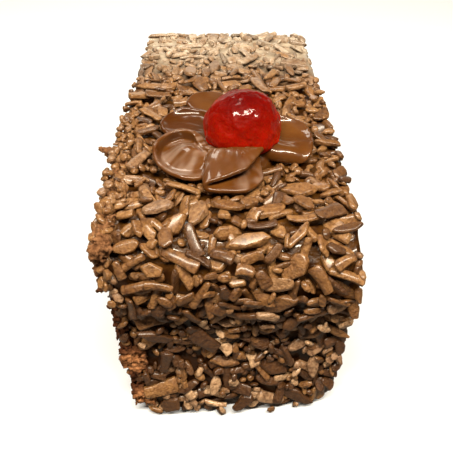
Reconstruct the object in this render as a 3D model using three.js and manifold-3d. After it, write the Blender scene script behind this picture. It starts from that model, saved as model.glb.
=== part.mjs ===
// A slice of chocolate log cake. Chocolate sponge shows at the two cut sides, left and right. A coat of
// chocolate glaze stuck with chocolate flakes runs over the front, the top and the back. A piped
// chocolate flower lies on the top, and half a glace cherry sits in the flower.
// Millimetres, +Z up. The origin is at the middle of the base, and the front of the slice faces -Y.
import * as THREE from "three";
import { mergeVertices } from "three/addons/utils/BufferGeometryUtils.js";
import Module from "manifold-3d";

const wasm = await Module();
wasm.setup();

// Driving dimensions, in millimetres and degrees

const GAP = 0.3; // between pieces that touch
const WELD = 1e-4; // distance within which vertices are one
const SLOPE_STEP = 0.01; // share of a surface's run over which its slope is taken

const SLICE = {
  width: 54.5, // between the cut sides
  depth: 125, // front to back, over the glaze
  height: 53.2, // base to top, over the glaze
  edgeRadius: 12, // of the long top edges, front and back
  crown: 0.8, // how far the top swells between those edges
  waist: 3, // how far the front and back walls draw in below the edges
  waistTop: 0.95, // share of the height where they stop doing so
  shoulder: [0.8, 1], // shares of the height between which those walls widen to the top
  taper: 1.2, // how much narrower they are below it, at each cut side
  slip: 1.8, // how far the front wall has slipped to the right there
  footTurn: 4, // how far its foot lies further back at the right than at the left
  belly: 0.7, // how far each cut side swells out in the middle of the slice
  bellyTop: 0.75, // share of the height where it stops drawing in again
  footPinch: 5, // how far the corners draw in where they meet the plate
  footHeight: 15, // height over which they do
  footRun: 24, // how far from the front and back walls they start
  segments: [5, 22, 11], // across, along and up
};

const COAT_THICKNESS = 2.4;

const CRUMB_DEPTH = 1.3; // of the torn relief on the cut sides

const FLAKE = {
  rows: 29, // from the front foot, over the top, to the back foot
  columns: 8, // between the cut sides
  stagger: 0.25, // share of a column's pitch by which odd and even rows shift apart
  scatter: 0.9, // share of its row's and column's pitch that a flake strays over
  length: [6, 10.5],
  width: [2.9, 4.8],
  thickness: [1.3, 1.9], // above the glaze
  sunk: 0.8, // into the glaze
  topShare: 0.8, // size of a flake's top beside its foot
  sides: 5,
  raggedness: 0.35, // share by which the corners of the outline vary
  tilt: 0.2, // largest lean, in radians
  overhang: [0.3, 1], // how far a flake may reach past a cut side, on the walls and on the top
  footMargin: 0.4, // from the plate to the lowest flake's end
  cornerClear: 3.5, // width of the bare corner at each foot
  cornerHeight: 16, // height at which the bare corner ends
};

const FLOWER = {
  x: 2,
  y: -24,
  thickness: 1.7, // of a petal's middle
  rimThickness: 0.9,
  rootThickness: 2.2,
  core: { radius: 11, height: 5.6, segments: [18, 8] },
};

// Five petals are rounded lobes. turn is the direction of a lobe in plan, distance how far its middle
// lies from the flower's, lift the height of its floor, tilt the slope of the floor outwards and dome how
// far the floor swells up in its middle. reach is the way from the middle to the rim, along the surface,
// and rim how many degrees the rim folds up by, or rolls down by where it is negative. floor and bend, where
// they aren't the usual ones, are the shares of the reach at which the rim starts and ends its bend.
const LOBES = [
  {
    turn: 217, distance: 13.2, lift: 3, tilt: -6, dome: 2.5, floor: 0.55, bend: 0.75,
    reach: { root: 6.5, tip: 9.6, left: 10, right: 13 },
    rim: { root: 90, tip: 50, left: 10, right: 104 },
  },
  {
    turn: 356, distance: 11.8, lift: 4.2, tilt: -9, dome: -0.8,
    reach: { root: 8, tip: 8.4, left: 10, right: 8.8 },
    rim: { root: 0, tip: 45, left: 72, right: -120 },
  },
  {
    turn: 58, distance: 7, lift: 3, tilt: 2, dome: 0,
    reach: { root: 6, tip: 6, left: 6, right: 6 },
    rim: { root: 0, tip: 30, left: 30, right: 30 },
  },
  {
    turn: 112, distance: 15.5, lift: 3.8, tilt: 6, dome: 0,
    reach: { root: 9, tip: 10.5, left: 4.8, right: 6.5 },
    rim: { root: 0, tip: 10, left: 20, right: 30 },
  },
  {
    turn: 152, distance: 12.7, lift: 3.6, tilt: 0, dome: 0,
    reach: { root: 8, tip: 8.6, left: 7, right: 8.4 },
    rim: { root: 0, tip: 60, left: 14, right: 90 },
  },
];
const LOBE = {
  floor: 0.42, // share of the reach where the rim starts its bend
  bend: 1, // share of the reach where it ends
  domeRun: 0.6, // share of the reach over which the floor's swelling fades
  corner: 0.92, // the nearer to 1, the rounder the outline
  segments: [8, 5], // across and along
};

// The petal in front is a ribbon folded over along its length. start is the distance of its root from the
// flower's middle, root its width there beside its full width, lift the height of the root, rise the slope
// of the middle line there and tipCurl what its end adds to the slope. left and right are its two halves
// seen along it: each is flat at first, folds up by so many degrees within its bend, and goes on straight
// as a leaf, whose width is given at the root and the tip.
const RIBBON = {
  turn: 268,
  start: 8.7,
  length: 12.6,
  root: 0.9,
  lift: 4,
  rise: -8,
  tipCurl: 3,
  left: { flat: 5, bend: 2, fold: -14, leaf: [0, 0] },
  right: { flat: 4.5, bend: 3.8, fold: 174, leaf: [12.6, 4.6] },
  full: 0.65, // share of the length at which it is widest
  tipRound: 0.4, // share of the length by which the corners of the tip draw back
  segments: [10, 5], // across and along
};

const PETAL = {
  rootRun: 0.5, // share of the length over which its root thins out
  rimPower: 4, // the higher, the nearer to the rim it starts to thin out there
  paces: 24, // in following a curved surface
};

const CHERRY = {
  x: 4,
  y: -23.8,
  radius: 9.4,
  footRadius: 9.1, // of the cut face that it sits on
  height: 11.2,
  girth: 1.4, // height of its widest ring
  seat: 5.2, // height of its foot above the glaze
  lean: -6, // tipped towards the front
  segments: [9, 26], // from the widest ring to the top, and around
};

// Helpers

const { clamp, smoothstep, degToRad } = THREE.MathUtils;
const lerp = ([low, high], share) => low + (high - low) * share;

// What a random number is drawn for
const DRAW = {
  crumb: 0,
  corner: 1,
  thickness: 2,
  length: 3,
  width: 4,
  run: 5,
  across: 6,
  heading: 7,
  lean: 8,
};

// A repeatable number from 0 to 1 for a whole number, different for each thing that it is drawn for.
const MOST_DRAWS = 32;
const noise = (index, draw) => THREE.MathUtils.seededRandom(index * MOST_DRAWS + draw);

function solidOf(geometry) {
  const bare = geometry.clone();
  bare.deleteAttribute("normal");
  bare.deleteAttribute("uv");
  const merged = mergeVertices(bare, WELD);
  return new wasm.Manifold(
    new wasm.Mesh({
      numProp: 3,
      vertProperties: new Float32Array(merged.attributes.position.array),
      triVerts: new Uint32Array(merged.index.array),
    }),
  );
}

// The largest body of a solid, without loose scraps or sealed hollows.
function wholePiece(solid) {
  return solid.decompose().reduce((best, body) => (body.volume() > best.volume() ? body : best));
}

function geometryOf(solid) {
  const mesh = solid.getMesh();
  const geometry = new THREE.BufferGeometry();
  geometry.setAttribute("position", new THREE.BufferAttribute(mesh.vertProperties, 3));
  geometry.setIndex(new THREE.BufferAttribute(mesh.triVerts, 1));
  geometry.computeVertexNormals();
  return geometry;
}

function moveVertices(geometry, move) {
  const position = geometry.attributes.position;
  const point = new THREE.Vector3();
  for (let i = 0; i < position.count; i++) {
    point.fromBufferAttribute(position, i);
    move(point);
    position.setXYZ(i, point.x, point.y, point.z);
  }
  return geometry;
}

// The slice's form

// Moves a point of a plain block, width by depth by height on the floor, to its place in the slice.
function shapeSlice(point, { depth, height, edgeRadius }) {
  const overEdge = Math.abs(point.y) - (depth / 2 - edgeRadius);
  const overTop = point.z - (height - edgeRadius);
  if (overEdge > 0 && overTop > 0) {
    const pull = Math.max(overEdge, overTop) / Math.hypot(overEdge, overTop);
    point.y = Math.sign(point.y) * (depth / 2 - edgeRadius + overEdge * pull);
    point.z = height - edgeRadius + overTop * pull;
  }
  const along = point.y / (depth / 2);
  const up = point.z / height;
  const toWall = Math.abs(point.y) - (depth / 2 - SLICE.footRun);
  const atWall = clamp(toWall / SLICE.footRun, 0, 1);
  const atFoot = clamp(1 - point.z / SLICE.footHeight, 0, 1);
  const pinch = SLICE.footPinch * atWall ** 2 * (1 - Math.sqrt(1 - atFoot ** 2));
  const swell = SLICE.belly * (1 - along ** 2) * Math.sin(Math.PI * Math.min(up, SLICE.bellyTop));
  const below = 1 - smoothstep(up, ...SLICE.shoulder);
  const atFront = Math.min(along, 0) ** 2;
  point.x *= 1 + (swell - pinch - SLICE.taper * below * along ** 4) / (SLICE.width / 2);
  point.x += SLICE.slip * below * atFront;
  const atWaist = Math.sin(Math.PI * Math.min(up / SLICE.waistTop, 1)) ** 2;
  point.y -= SLICE.waist * atWaist * along * Math.abs(along);
  point.y += SLICE.footTurn * (1 - up) ** 2 * atFront * (point.x / SLICE.width + 0.5);
  point.z += SLICE.crown * up * (1 - along ** 2);
  return point;
}

// The size of the slice inset by a wall's thickness, between cut sides that reach out by overhang.
const sizeInside = (wall, overhang = 0) => ({
  width: SLICE.width + 2 * overhang,
  depth: SLICE.depth - 2 * wall,
  height: SLICE.height - wall,
  edgeRadius: SLICE.edgeRadius - wall,
});

// A block of that size in the slice's form. finish may move a point further, knowing where it was.
function sliceBlock(size, finish = () => {}) {
  const block = new THREE.BoxGeometry(size.width, size.depth, size.height, ...SLICE.segments);
  block.translate(0, 0, size.height / 2);
  return moveVertices(block, (point) => {
    const plain = point.clone();
    shapeSlice(point, size);
    finish(point, plain);
  });
}

function makeSponge() {
  const size = sizeInside(COAT_THICKNESS + GAP);
  const tearCutSide = (point, plain) => {
    const onCutSide = Math.abs(plain.x) > size.width / 2 - GAP;
    const place = Math.round(plain.x + size.depth * (plain.y + size.depth * plain.z));
    if (onCutSide) point.x -= Math.sign(plain.x) * CRUMB_DEPTH * noise(place, DRAW.crumb);
  };
  return solidOf(sliceBlock(size, tearCutSide));
}

// The coat, its flakes and where they lie

// A point on the glaze and the way out from it. run goes from 0 at the front foot, over the top, to 1 at
// the back foot, and across from -1 to 1 between the cut sides.
function onGlaze(run, across) {
  const size = sizeInside(0);
  const wholeRun = 2 * size.height + size.depth;
  const place = (share, side) => {
    const walked = share * wholeRun;
    const point = new THREE.Vector3((side * size.width) / 2, 0, 0);
    point.z = Math.min(walked, size.height, wholeRun - walked);
    point.y = clamp(walked - size.height - size.depth / 2, -size.depth / 2, size.depth / 2);
    return shapeSlice(point, size);
  };
  const step = SLOPE_STEP;
  const forward = place(run + step, across).sub(place(run - step, across));
  const sideways = place(run, across + step).sub(place(run, across - step));
  return { point: place(run, across), normal: sideways.cross(forward).normalize() };
}

const flakeLength = (index) => lerp(FLAKE.length, noise(index, DRAW.length));
const flakeWidth = (index) => lerp(FLAKE.width, noise(index, DRAW.width));

// A chip with a ragged outline, lying on its flat foot.
function flakeGeometry(index) {
  const chip = new THREE.CylinderGeometry(FLAKE.topShare, 1, 1, FLAKE.sides);
  chip.rotateX(Math.PI / 2).translate(0, 0, 0.5);
  moveVertices(chip, (point) => {
    const corner = Math.round(((Math.atan2(point.y, point.x) / Math.PI + 1) / 2) * FLAKE.sides);
    const place = index * FLAKE.sides + (corner % FLAKE.sides);
    const reach = 1 - FLAKE.raggedness * noise(place, DRAW.corner);
    point.x *= reach;
    point.y *= reach;
  });
  const thickness = lerp(FLAKE.thickness, noise(index, DRAW.thickness));
  return chip.scale(flakeLength(index) / 2, flakeWidth(index) / 2, FLAKE.sunk + thickness);
}

// Where a flake lies, moved in so that its ends stay near the cut sides and off the plate.
function flakePlace(row, column, index, heading) {
  const { width, depth, height, edgeRadius } = sizeInside(0);
  const wholeRun = 2 * height + depth;
  const stray = (draw) => FLAKE.scatter * (noise(index, draw) - 0.5);
  const stagger = row % 2 ? FLAKE.stagger : -FLAKE.stagger;
  const run = (row + 0.5 + stray(DRAW.run)) / FLAKE.rows;
  const across = (2 * (column + 0.5 + stagger + stray(DRAW.across))) / FLAKE.columns - 1;
  const ahead = Math.abs(Math.sin(heading));
  const aside = Math.abs(Math.cos(heading));
  const halfWide = (flakeLength(index) * aside + flakeWidth(index) * ahead) / 2;
  const halfLong = (flakeLength(index) * ahead + flakeWidth(index) * aside) / 2;
  const onTop = smoothstep(Math.min(run, 1 - run) * wholeRun, height - edgeRadius, height + edgeRadius);
  const reach = 1 + (2 * (lerp(FLAKE.overhang, onTop) - halfWide)) / width;
  const foot = (FLAKE.footMargin + halfLong) / wholeRun;
  return { run: clamp(run, foot, 1 - foot), across: clamp(across, -reach, reach) };
}

// A flake in its place, or nothing where it would lie past the rounded corner of a foot.
function placeFlake(row, column) {
  const index = row * FLAKE.columns + column;
  const heading = 2 * Math.PI * noise(index, DRAW.heading);
  const { run, across } = flakePlace(row, column, index, heading);
  const { point, normal } = onGlaze(run, across);
  const toSide = ((1 - Math.abs(across)) * SLICE.width) / 2;
  if (toSide < FLAKE.cornerClear * (1 - point.z / FLAKE.cornerHeight)) return null;
  const up = new THREE.Vector3(0, 0, 1);
  const spin = new THREE.Quaternion().setFromAxisAngle(up, heading);
  const tilt = 2 * FLAKE.tilt * FLAKE.scatter * (noise(index, DRAW.lean) - 0.5);
  const lean = new THREE.Quaternion().setFromAxisAngle(new THREE.Vector3(0, 1, 0), tilt);
  const turn = new THREE.Quaternion().setFromUnitVectors(up, normal).multiply(spin).multiply(lean);
  const foot = point.addScaledVector(normal, -FLAKE.sunk);
  return flakeGeometry(index).applyQuaternion(turn).translate(foot.x, foot.y, foot.z);
}

function makeCoat(keepClear) {
  const beyond = SLICE.width;
  const floor = new THREE.BoxGeometry(2 * SLICE.depth, 2 * SLICE.depth, beyond).translate(0, 0, -beyond / 2);
  const hollow = sliceBlock(sizeInside(COAT_THICKNESS, beyond), (point, plain) => {
    if (plain.z < GAP) point.z = -GAP;
  });
  let coat = solidOf(sliceBlock(sizeInside(0)));
  for (let row = 0; row < FLAKE.rows; row++) {
    for (let column = 0; column < FLAKE.columns; column++) {
      const geometry = placeFlake(row, column);
      const flake = geometry && solidOf(geometry);
      if (flake?.intersect(keepClear).isEmpty()) coat = coat.add(flake);
    }
  }
  return wholePiece(coat.subtract(solidOf(hollow)).subtract(solidOf(floor)));
}

// The height of the glaze on the slice's middle line.
const glazeHeight = (y) => shapeSlice(new THREE.Vector3(0, y, SLICE.height), sizeInside(0)).z;

// The flower

// How far a line has gone ahead and up after walking a distance, where slopeAt gives its slope on the way.
function follow(distance, slopeAt) {
  const step = distance / PETAL.paces;
  let ahead = 0;
  let up = 0;
  for (let i = 0; i < PETAL.paces; i++) {
    const slope = slopeAt((i + 0.5) * step);
    ahead += Math.cos(slope) * step;
    up += Math.sin(slope) * step;
  }
  return [ahead, up];
}

// A value in a direction with these parts along a lobe and to its left, from values for the four ways out.
function towards({ root, tip, left, right }, along, aside) {
  return (along > 0 ? tip : root) * along ** 2 + (aside > 0 ? left : right) * aside ** 2;
}

// A point of a petal's middle surface: out along the petal, to its left and up. side runs from -1 at its
// right to 1 at its left, and reach from 0 at its root to 1 at its tip. A lobe is a square sheet drawn to a
// round outline.
function onLobe(lobe, side, reach) {
  const { floor, bend, corner, domeRun } = { ...LOBE, ...lobe };
  const across = corner * side;
  const out = corner * (2 * reach - 1);
  const plan = new THREE.Vector2(out * Math.sqrt(1 - across ** 2 / 2), across * Math.sqrt(1 - out ** 2 / 2));
  const share = plan.length();
  const along = Math.cos(plan.angle());
  const aside = Math.sin(plan.angle());
  const whole = towards(lobe.reach, along, aside);
  const rim = degToRad(towards(lobe.rim, along, aside));
  const [gone, up] = follow(share * whole, (walked) => rim * smoothstep(walked / whole, floor, bend));
  const swell = lobe.dome * (1 - smoothstep(share, 0, domeRun));
  const climb = gone * along * Math.tan(degToRad(lobe.tilt));
  return new THREE.Vector3(lobe.distance + gone * along, gone * aside, lobe.lift + up + swell + climb);
}

function onRibbon({ start, length, root, lift, rise, tipCurl, left, right, full, tipRound }, side, reach) {
  const { flat, bend, fold, leaf } = side > 0 ? left : right;
  const out = reach * (1 - tipRound * Math.abs(side) ** 3);
  const width = flat + bend + lerp(leaf, out);
  const fullness = lerp([root, 1], smoothstep(out, 0, full));
  const foldAt = (walked) => degToRad(fold) * smoothstep(walked, flat, flat + bend);
  const [aside, up] = follow(Math.abs(side) * width, foldAt);
  const slope = degToRad(rise + tipCurl * out ** 2);
  return new THREE.Vector3(
    start + length * out * Math.cos(slope) - up * fullness * Math.sin(slope),
    Math.sign(side) * aside * fullness,
    lift + length * out * Math.sin(slope) + up * fullness * Math.cos(slope),
  );
}

// A petal made from a flat slab: x is across the petal, y is out along it and z is the way through it.
// surface gives the points of its middle surface, and grow is added all over.
function petalGeometry(turn, segments, surface, grow) {
  const slab = new THREE.BoxGeometry(2, 1, 2, ...segments, 1);
  slab.translate(0, 0.5, 0);
  moveVertices(slab, (point) => {
    const side = -point.x;
    const reach = point.y;
    const through = point.z;
    const step = SLOPE_STEP;
    const sideways = surface(side + step, reach).sub(surface(side - step, reach));
    const forward = surface(side, reach + step).sub(surface(side, reach - step));
    const face = forward.cross(sideways).normalize();
    const toRim = Math.max(Math.abs(side), reach) ** PETAL.rimPower;
    const body = lerp([FLOWER.rootThickness, FLOWER.thickness], smoothstep(reach, 0, PETAL.rootRun));
    const thickness = lerp([body, FLOWER.rimThickness], toRim);
    point.copy(surface(side, reach)).addScaledVector(face, through * (thickness / 2 + grow));
  });
  return slab.rotateZ(degToRad(turn));
}

function lobeGeometry(lobe, grow) {
  return petalGeometry(lobe.turn, LOBE.segments, (side, reach) => onLobe(lobe, side, reach), grow);
}

function ribbonGeometry(ribbon, grow) {
  return petalGeometry(ribbon.turn, ribbon.segments, (side, reach) => onRibbon(ribbon, side, reach), grow);
}

// The flower standing on the glaze, grown by the clearance that others keep from it.
function flowerBody(grow) {
  const { radius, height, segments } = FLOWER.core;
  const core = new THREE.SphereGeometry(1, ...segments).rotateX(Math.PI / 2);
  core.scale(radius + grow, radius + grow, height + grow);
  const petals = [...LOBES.map((lobe) => lobeGeometry(lobe, grow)), ribbonGeometry(RIBBON, grow)];
  const whole = petals.reduce((body, petal) => body.add(solidOf(petal)), solidOf(core));
  return whole.translate(FLOWER.x, FLOWER.y, glazeHeight(FLOWER.y));
}

// The cherry

function cherryBody(grow) {
  const { radius, footRadius, height, girth } = CHERRY;
  const [rings, around] = CHERRY.segments;
  const profile = [new THREE.Vector2(0, -grow), new THREE.Vector2(footRadius + grow, -grow)];
  for (let i = 0; i < rings; i++) {
    const angle = (i / rings) * (Math.PI / 2);
    const out = Math.cos(angle) * (radius + grow);
    const up = girth + Math.sin(angle) * (height - girth + grow);
    profile.push(new THREE.Vector2(out, up));
  }
  profile.push(new THREE.Vector2(0, height + grow));
  const dome = new THREE.LatheGeometry(profile, around).rotateX(Math.PI / 2 + degToRad(CHERRY.lean));
  return solidOf(dome.translate(CHERRY.x, CHERRY.y, glazeHeight(CHERRY.y) + CHERRY.seat));
}

// The assembled slice

const finishes = {
  sponge: { color: 0x5a2f17, roughness: 0.95 },
  coat: { color: 0x8a5c36, roughness: 0.45 },
  flower: { color: 0x7a4416, roughness: 0.22 },
  cherry: { color: 0xa81208, roughness: 0.12 },
};

function piece(name, solid) {
  const material = new THREE.MeshStandardMaterial({ ...finishes[name], metalness: 0 });
  const mesh = new THREE.Mesh(geometryOf(solid), material);
  mesh.name = name;
  return mesh;
}

const glaze = solidOf(sliceBlock(sizeInside(-GAP)));
const flower = wholePiece(flowerBody(0).subtract(cherryBody(GAP)).subtract(glaze));

const slice = new THREE.Group();
slice.add(
  piece("sponge", makeSponge()),
  piece("coat", makeCoat(flowerBody(GAP))),
  piece("flower", flower),
  piece("cherry", cherryBody(0)),
);

// The origin goes to the middle of the base, whichever flakes stick out furthest.
const box = new THREE.Box3().setFromObject(slice);
const middle = box.getCenter(new THREE.Vector3());
slice.position.set(-middle.x, -middle.y, -box.min.z);

export default slice;
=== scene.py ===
"""A slice of chocolate log cake, dressed: torn sponge, wet glaze, flakes, a piped flower and a cherry.

Sizes are in millimetres in the part's own frame, +Z up, with the front of the slice facing -Y. They become
metres only where a mesh is handed to Blender.
"""

import logging
import math
from collections.abc import Iterable, Sequence
from dataclasses import dataclass, field
from enum import Enum, IntEnum

import bmesh
import bpy
import numpy as np
from mathutils import Matrix, Vector, noise


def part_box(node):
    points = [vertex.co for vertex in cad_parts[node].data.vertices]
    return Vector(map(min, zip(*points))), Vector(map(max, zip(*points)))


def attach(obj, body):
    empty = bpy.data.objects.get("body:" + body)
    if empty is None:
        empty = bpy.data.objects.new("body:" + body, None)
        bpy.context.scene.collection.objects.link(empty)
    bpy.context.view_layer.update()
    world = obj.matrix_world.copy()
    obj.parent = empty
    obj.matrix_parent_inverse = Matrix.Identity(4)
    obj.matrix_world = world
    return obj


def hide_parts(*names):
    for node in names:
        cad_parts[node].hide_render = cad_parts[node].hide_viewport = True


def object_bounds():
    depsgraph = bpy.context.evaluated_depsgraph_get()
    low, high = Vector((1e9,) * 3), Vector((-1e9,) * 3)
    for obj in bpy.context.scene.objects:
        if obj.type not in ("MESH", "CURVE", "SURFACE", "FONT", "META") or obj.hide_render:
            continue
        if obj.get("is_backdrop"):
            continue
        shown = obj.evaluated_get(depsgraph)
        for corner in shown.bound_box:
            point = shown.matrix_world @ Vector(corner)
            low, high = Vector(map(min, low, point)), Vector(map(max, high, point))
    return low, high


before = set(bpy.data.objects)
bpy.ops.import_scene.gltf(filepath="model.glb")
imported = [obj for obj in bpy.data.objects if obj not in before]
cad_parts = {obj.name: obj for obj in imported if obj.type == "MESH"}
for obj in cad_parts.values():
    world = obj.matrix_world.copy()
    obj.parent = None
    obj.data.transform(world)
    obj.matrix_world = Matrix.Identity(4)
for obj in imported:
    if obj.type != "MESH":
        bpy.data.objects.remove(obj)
CAD_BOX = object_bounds()

LOG = logging.getLogger("slice")

Array = np.ndarray
Rgb = tuple[float, float, float]
Place = tuple[float, float, float]
Range = tuple[float, float]
Stops = Sequence[tuple[float, Rgb]]
Spots = Sequence[tuple[float, float, float]]

MM = 0.001
TINY = 1e-6
BODY = "root"


class Part(Enum):
    """The solids of the part, whose names are also those of their finishes in the record."""

    SPONGE = "sponge"
    COAT = "coat"
    FLOWER = "flower"
    CHERRY = "cherry"

    def box(self) -> tuple[Array, Array]:
        """The solid's lowest and highest corners, in millimetres."""
        low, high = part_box(self.value)
        return np.array(low) / MM, np.array(high) / MM


class Kind(Enum):
    """The shapes that the chocolate breaks into."""

    CHIP = "chip"
    ROD = "rod"
    GRANULE = "granule"


class Use(IntEnum):
    """What the draws for a flake of the solid coat are for, as they are numbered there."""

    LUCK = 0
    THICKNESS = 2
    LENGTH = 3
    WIDTH = 4
    ALONG = 5
    ACROSS = 6
    HEADING = 7
    TINT = 8


# Numbers and meshes


def lerp(ends: Range, share: float | Array) -> float | Array:
    """The value at a share of the way between two ends."""
    return ends[0] + (ends[1] - ends[0]) * share


def smoothstep(value: Array, low: float, high: float) -> Array:
    """A smooth rise from 0 at low to 1 at high."""
    share = np.clip((value - low) / (high - low), 0.0, 1.0)
    return share * share * (3.0 - 2.0 * share)


def unit(vectors: Array) -> Array:
    """The vectors at a length of 1."""
    return vectors / np.maximum(np.linalg.norm(vectors, axis=-1, keepdims=True), TINY)


def solid_noise(points: Array, size: float, octaves: int = 3) -> Array:
    """Fractal noise around 0.

    Args:
        points: places, in millimetres.
        size: how far apart the bumps lie, in millimetres.
        octaves: how many finer layers are added.

    Returns:
        One number for each place, mostly from -1 to 1.
    """
    return np.array([noise.fractal(Vector(p), 1.0, 2.0, octaves) for p in points / size])


def cell_noise(points: Array, size: float) -> Array:
    """Distance to the middle of the nearest cell of a foam, as a share of the cells' size."""
    return np.array([noise.voronoi(Vector(p))[0][0] for p in points / size])


def near_spots(plan: Array, spots: Spots) -> Array:
    """How far points lie in round spots, from 1 within half a spot's reach to 0 past it.

    Args:
        plan: rows of two coordinates.
        spots: the same two coordinates of each spot's middle, and its reach.

    Returns:
        One number for each point.
    """
    near = np.zeros(len(plan))
    for first, second, reach in spots:
        away = np.hypot(plan[:, 0] - first, plan[:, 1] - second)
        near = np.maximum(near, 1.0 - smoothstep(away, reach / 2, reach))
    return near


def above_floor(points: Array) -> Array:
    """The points, with those below the floor lifted onto it."""
    points[:, 2] = np.maximum(points[:, 2], 0.0)
    return points


def draw(index: int, use: Use) -> float:
    """A repeatable number from 0 to 1, by the rule that the solid coat's own flakes follow.

    Args:
        index: the flake's number.
        use: what the draw is for.

    Returns:
        The number.
    """
    uses = 32
    step = 0x6D2B79F5
    word = 0xFFFFFFFF
    state = (index * uses + use + step) & word
    state = ((state ^ state >> 15) * (state | 1)) & word
    mixed = ((state ^ state >> 7) * (state | 61)) & word
    state ^= (state + mixed) & word
    return (state ^ state >> 14) / (word + 1)


def coordinates(mesh: bpy.types.Mesh) -> Array:
    """The vertices of a mesh, in millimetres."""
    flat = np.empty(len(mesh.vertices) * 3, np.float32)
    mesh.vertices.foreach_get("co", flat)
    return flat.reshape(-1, 3).astype(float) / MM


def set_coordinates(mesh: bpy.types.Mesh, points: Array) -> None:
    """Moves the vertices of a mesh to points in millimetres."""
    mesh.vertices.foreach_set("co", (points * MM).astype(np.float32).ravel())
    mesh.update()


def outward(mesh: bpy.types.Mesh) -> Array:
    """The way out at each vertex of a mesh."""
    flat = np.empty(len(mesh.vertices) * 3, np.float32)
    mesh.vertex_normals.foreach_get("vector", flat)
    return flat.reshape(-1, 3).astype(float)


def store(mesh: bpy.types.Mesh, name: str, values: Array) -> None:
    """Keeps a number for each vertex of a mesh, for its finish to read."""
    stored = mesh.attributes.new(name, "FLOAT", "POINT")
    stored.data.foreach_set("value", values.astype(np.float32))


def vert_points(verts: Iterable[bmesh.types.BMVert]) -> Array:
    """Vertices of a bmesh as rows."""
    return np.array([vert.co for vert in verts])


def move(verts: Iterable[bmesh.types.BMVert], points: Array) -> None:
    """Moves vertices of a bmesh to the rows given."""
    for vert, point in zip(verts, points):
        vert.co = point


def raised(bm: bmesh.types.BMesh, faces: Sequence[bmesh.types.BMFace]) -> list[bmesh.types.BMVert]:
    """Doubles a sheet of faces, with walls between, and gives the vertices of the new sheet."""
    made = bmesh.ops.extrude_face_region(bm, geom=faces)["geom"]
    return [item for item in made if isinstance(item, bmesh.types.BMVert)]


def finished_mesh(bm: bmesh.types.BMesh, name: str) -> bpy.types.Mesh:
    """Turns a bmesh in millimetres into a smooth mesh in metres, and frees it."""
    bmesh.ops.recalc_face_normals(bm, faces=bm.faces[:])
    bmesh.ops.scale(bm, vec=(MM, MM, MM), verts=bm.verts[:])
    mesh = bpy.data.meshes.new(name)
    bm.to_mesh(mesh)
    bm.free()
    mesh.shade_smooth()
    return mesh


def fused(loose: bpy.types.Mesh, voxel: float, smoothing: int) -> bpy.types.Mesh:
    """Runs the bodies of a mesh together.

    Args:
        loose: a mesh of closed bodies, which is used up and gives its name.
        voxel: how fine the new mesh is, in millimetres.
        smoothing: how often it is smoothed.

    Returns:
        The new mesh.
    """
    name = loose.name
    loose.name = "loose"
    holder = bpy.data.objects.new("loose", loose)
    bpy.context.scene.collection.objects.link(holder)
    remesh = holder.modifiers.new("fuse", "REMESH")
    remesh.mode = "VOXEL"
    remesh.voxel_size = voxel * MM
    smooth = holder.modifiers.new("settle", "SMOOTH")
    smooth.factor = 0.5
    smooth.iterations = smoothing
    shown = holder.evaluated_get(bpy.context.evaluated_depsgraph_get())
    mesh = bpy.data.meshes.new_from_object(shown)
    mesh.name = name
    bpy.data.objects.remove(holder)
    bpy.data.meshes.remove(loose)
    mesh.shade_smooth()
    return mesh


def without_specks(mesh: bpy.types.Mesh, least: int) -> bpy.types.Mesh:
    """Removes a mesh's loose scraps.

    Args:
        mesh: the mesh, which is changed.
        least: how many vertices a body needs to stay.

    Returns:
        The same mesh.
    """
    bm = bmesh.new()
    bm.from_mesh(mesh)
    left = set(bm.verts)
    specks: list[bmesh.types.BMVert] = []
    while left:
        body = [left.pop()]
        for vert in body:
            near = {edge.other_vert(vert) for edge in vert.link_edges} & left
            left -= near
            body.extend(near)
        if len(body) < least:
            specks.extend(body)
    bmesh.ops.delete(bm, geom=specks, context="VERTS")
    bm.to_mesh(mesh)
    bm.free()
    return mesh


@dataclass
class Template:
    """A small mesh in millimetres that is copied many times."""

    points: Array
    corners: Array
    totals: Array

    @classmethod
    def from_bmesh(cls, bm: bmesh.types.BMesh) -> "Template":
        """Reads the faces of a bmesh, pointing outwards, and frees it."""
        bmesh.ops.recalc_face_normals(bm, faces=bm.faces[:])
        bm.verts.index_update()
        points = vert_points(bm.verts)
        corners = np.array([vert.index for face in bm.faces for vert in face.verts])
        totals = np.array([len(face.verts) for face in bm.faces])
        bm.free()
        return cls(points, corners, totals)


class JoinedMesh:
    """Many placed copies of templates, gathered as arrays into one mesh."""

    def __init__(self, name: str) -> None:
        """Starts an empty mesh of that name."""
        self.name = name
        self.points: list[Array] = []
        self.corners: list[Array] = []
        self.totals: list[Array] = []
        self.tints: list[Array] = []
        self.painted_glares: list[Array] = []
        self.count = 0

    def add(self, template: Template, points: Array, tint: float, painted_glare: float = 0.0) -> None:
        """Adds one copy.

        Args:
            template: whose faces the copy has.
            points: the copy's vertices, in millimetres.
            tint: its shade, from 0 to 1.
            painted_glare: how much painted glare, a pale highlight, it has, from 0 to 1.
        """
        self.points.append(points)
        self.corners.append(template.corners + self.count)
        self.totals.append(template.totals)
        self.tints.append(np.full(len(points), tint))
        self.painted_glares.append(np.full(len(points), painted_glare))
        self.count += len(points)

    def mesh(self) -> bpy.types.Mesh:
        """The copies as one mesh, with their tints and their painted glare as attributes."""
        points = np.concatenate(self.points) * MM
        corners = np.concatenate(self.corners)
        totals = np.concatenate(self.totals)
        mesh = bpy.data.meshes.new(self.name)
        mesh.vertices.add(len(points))
        mesh.vertices.foreach_set("co", points.astype(np.float32).ravel())
        mesh.loops.add(len(corners))
        mesh.loops.foreach_set("vertex_index", corners.astype(np.int32))
        mesh.polygons.add(len(totals))
        starts = np.concatenate([[0], np.cumsum(totals)[:-1]])
        mesh.polygons.foreach_set("loop_start", starts.astype(np.int32))
        mesh.update(calc_edges=True)
        store(mesh, "tint", np.concatenate(self.tints))
        store(mesh, "painted_glare", np.concatenate(self.painted_glares))
        mesh.shade_smooth()
        return mesh


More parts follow.
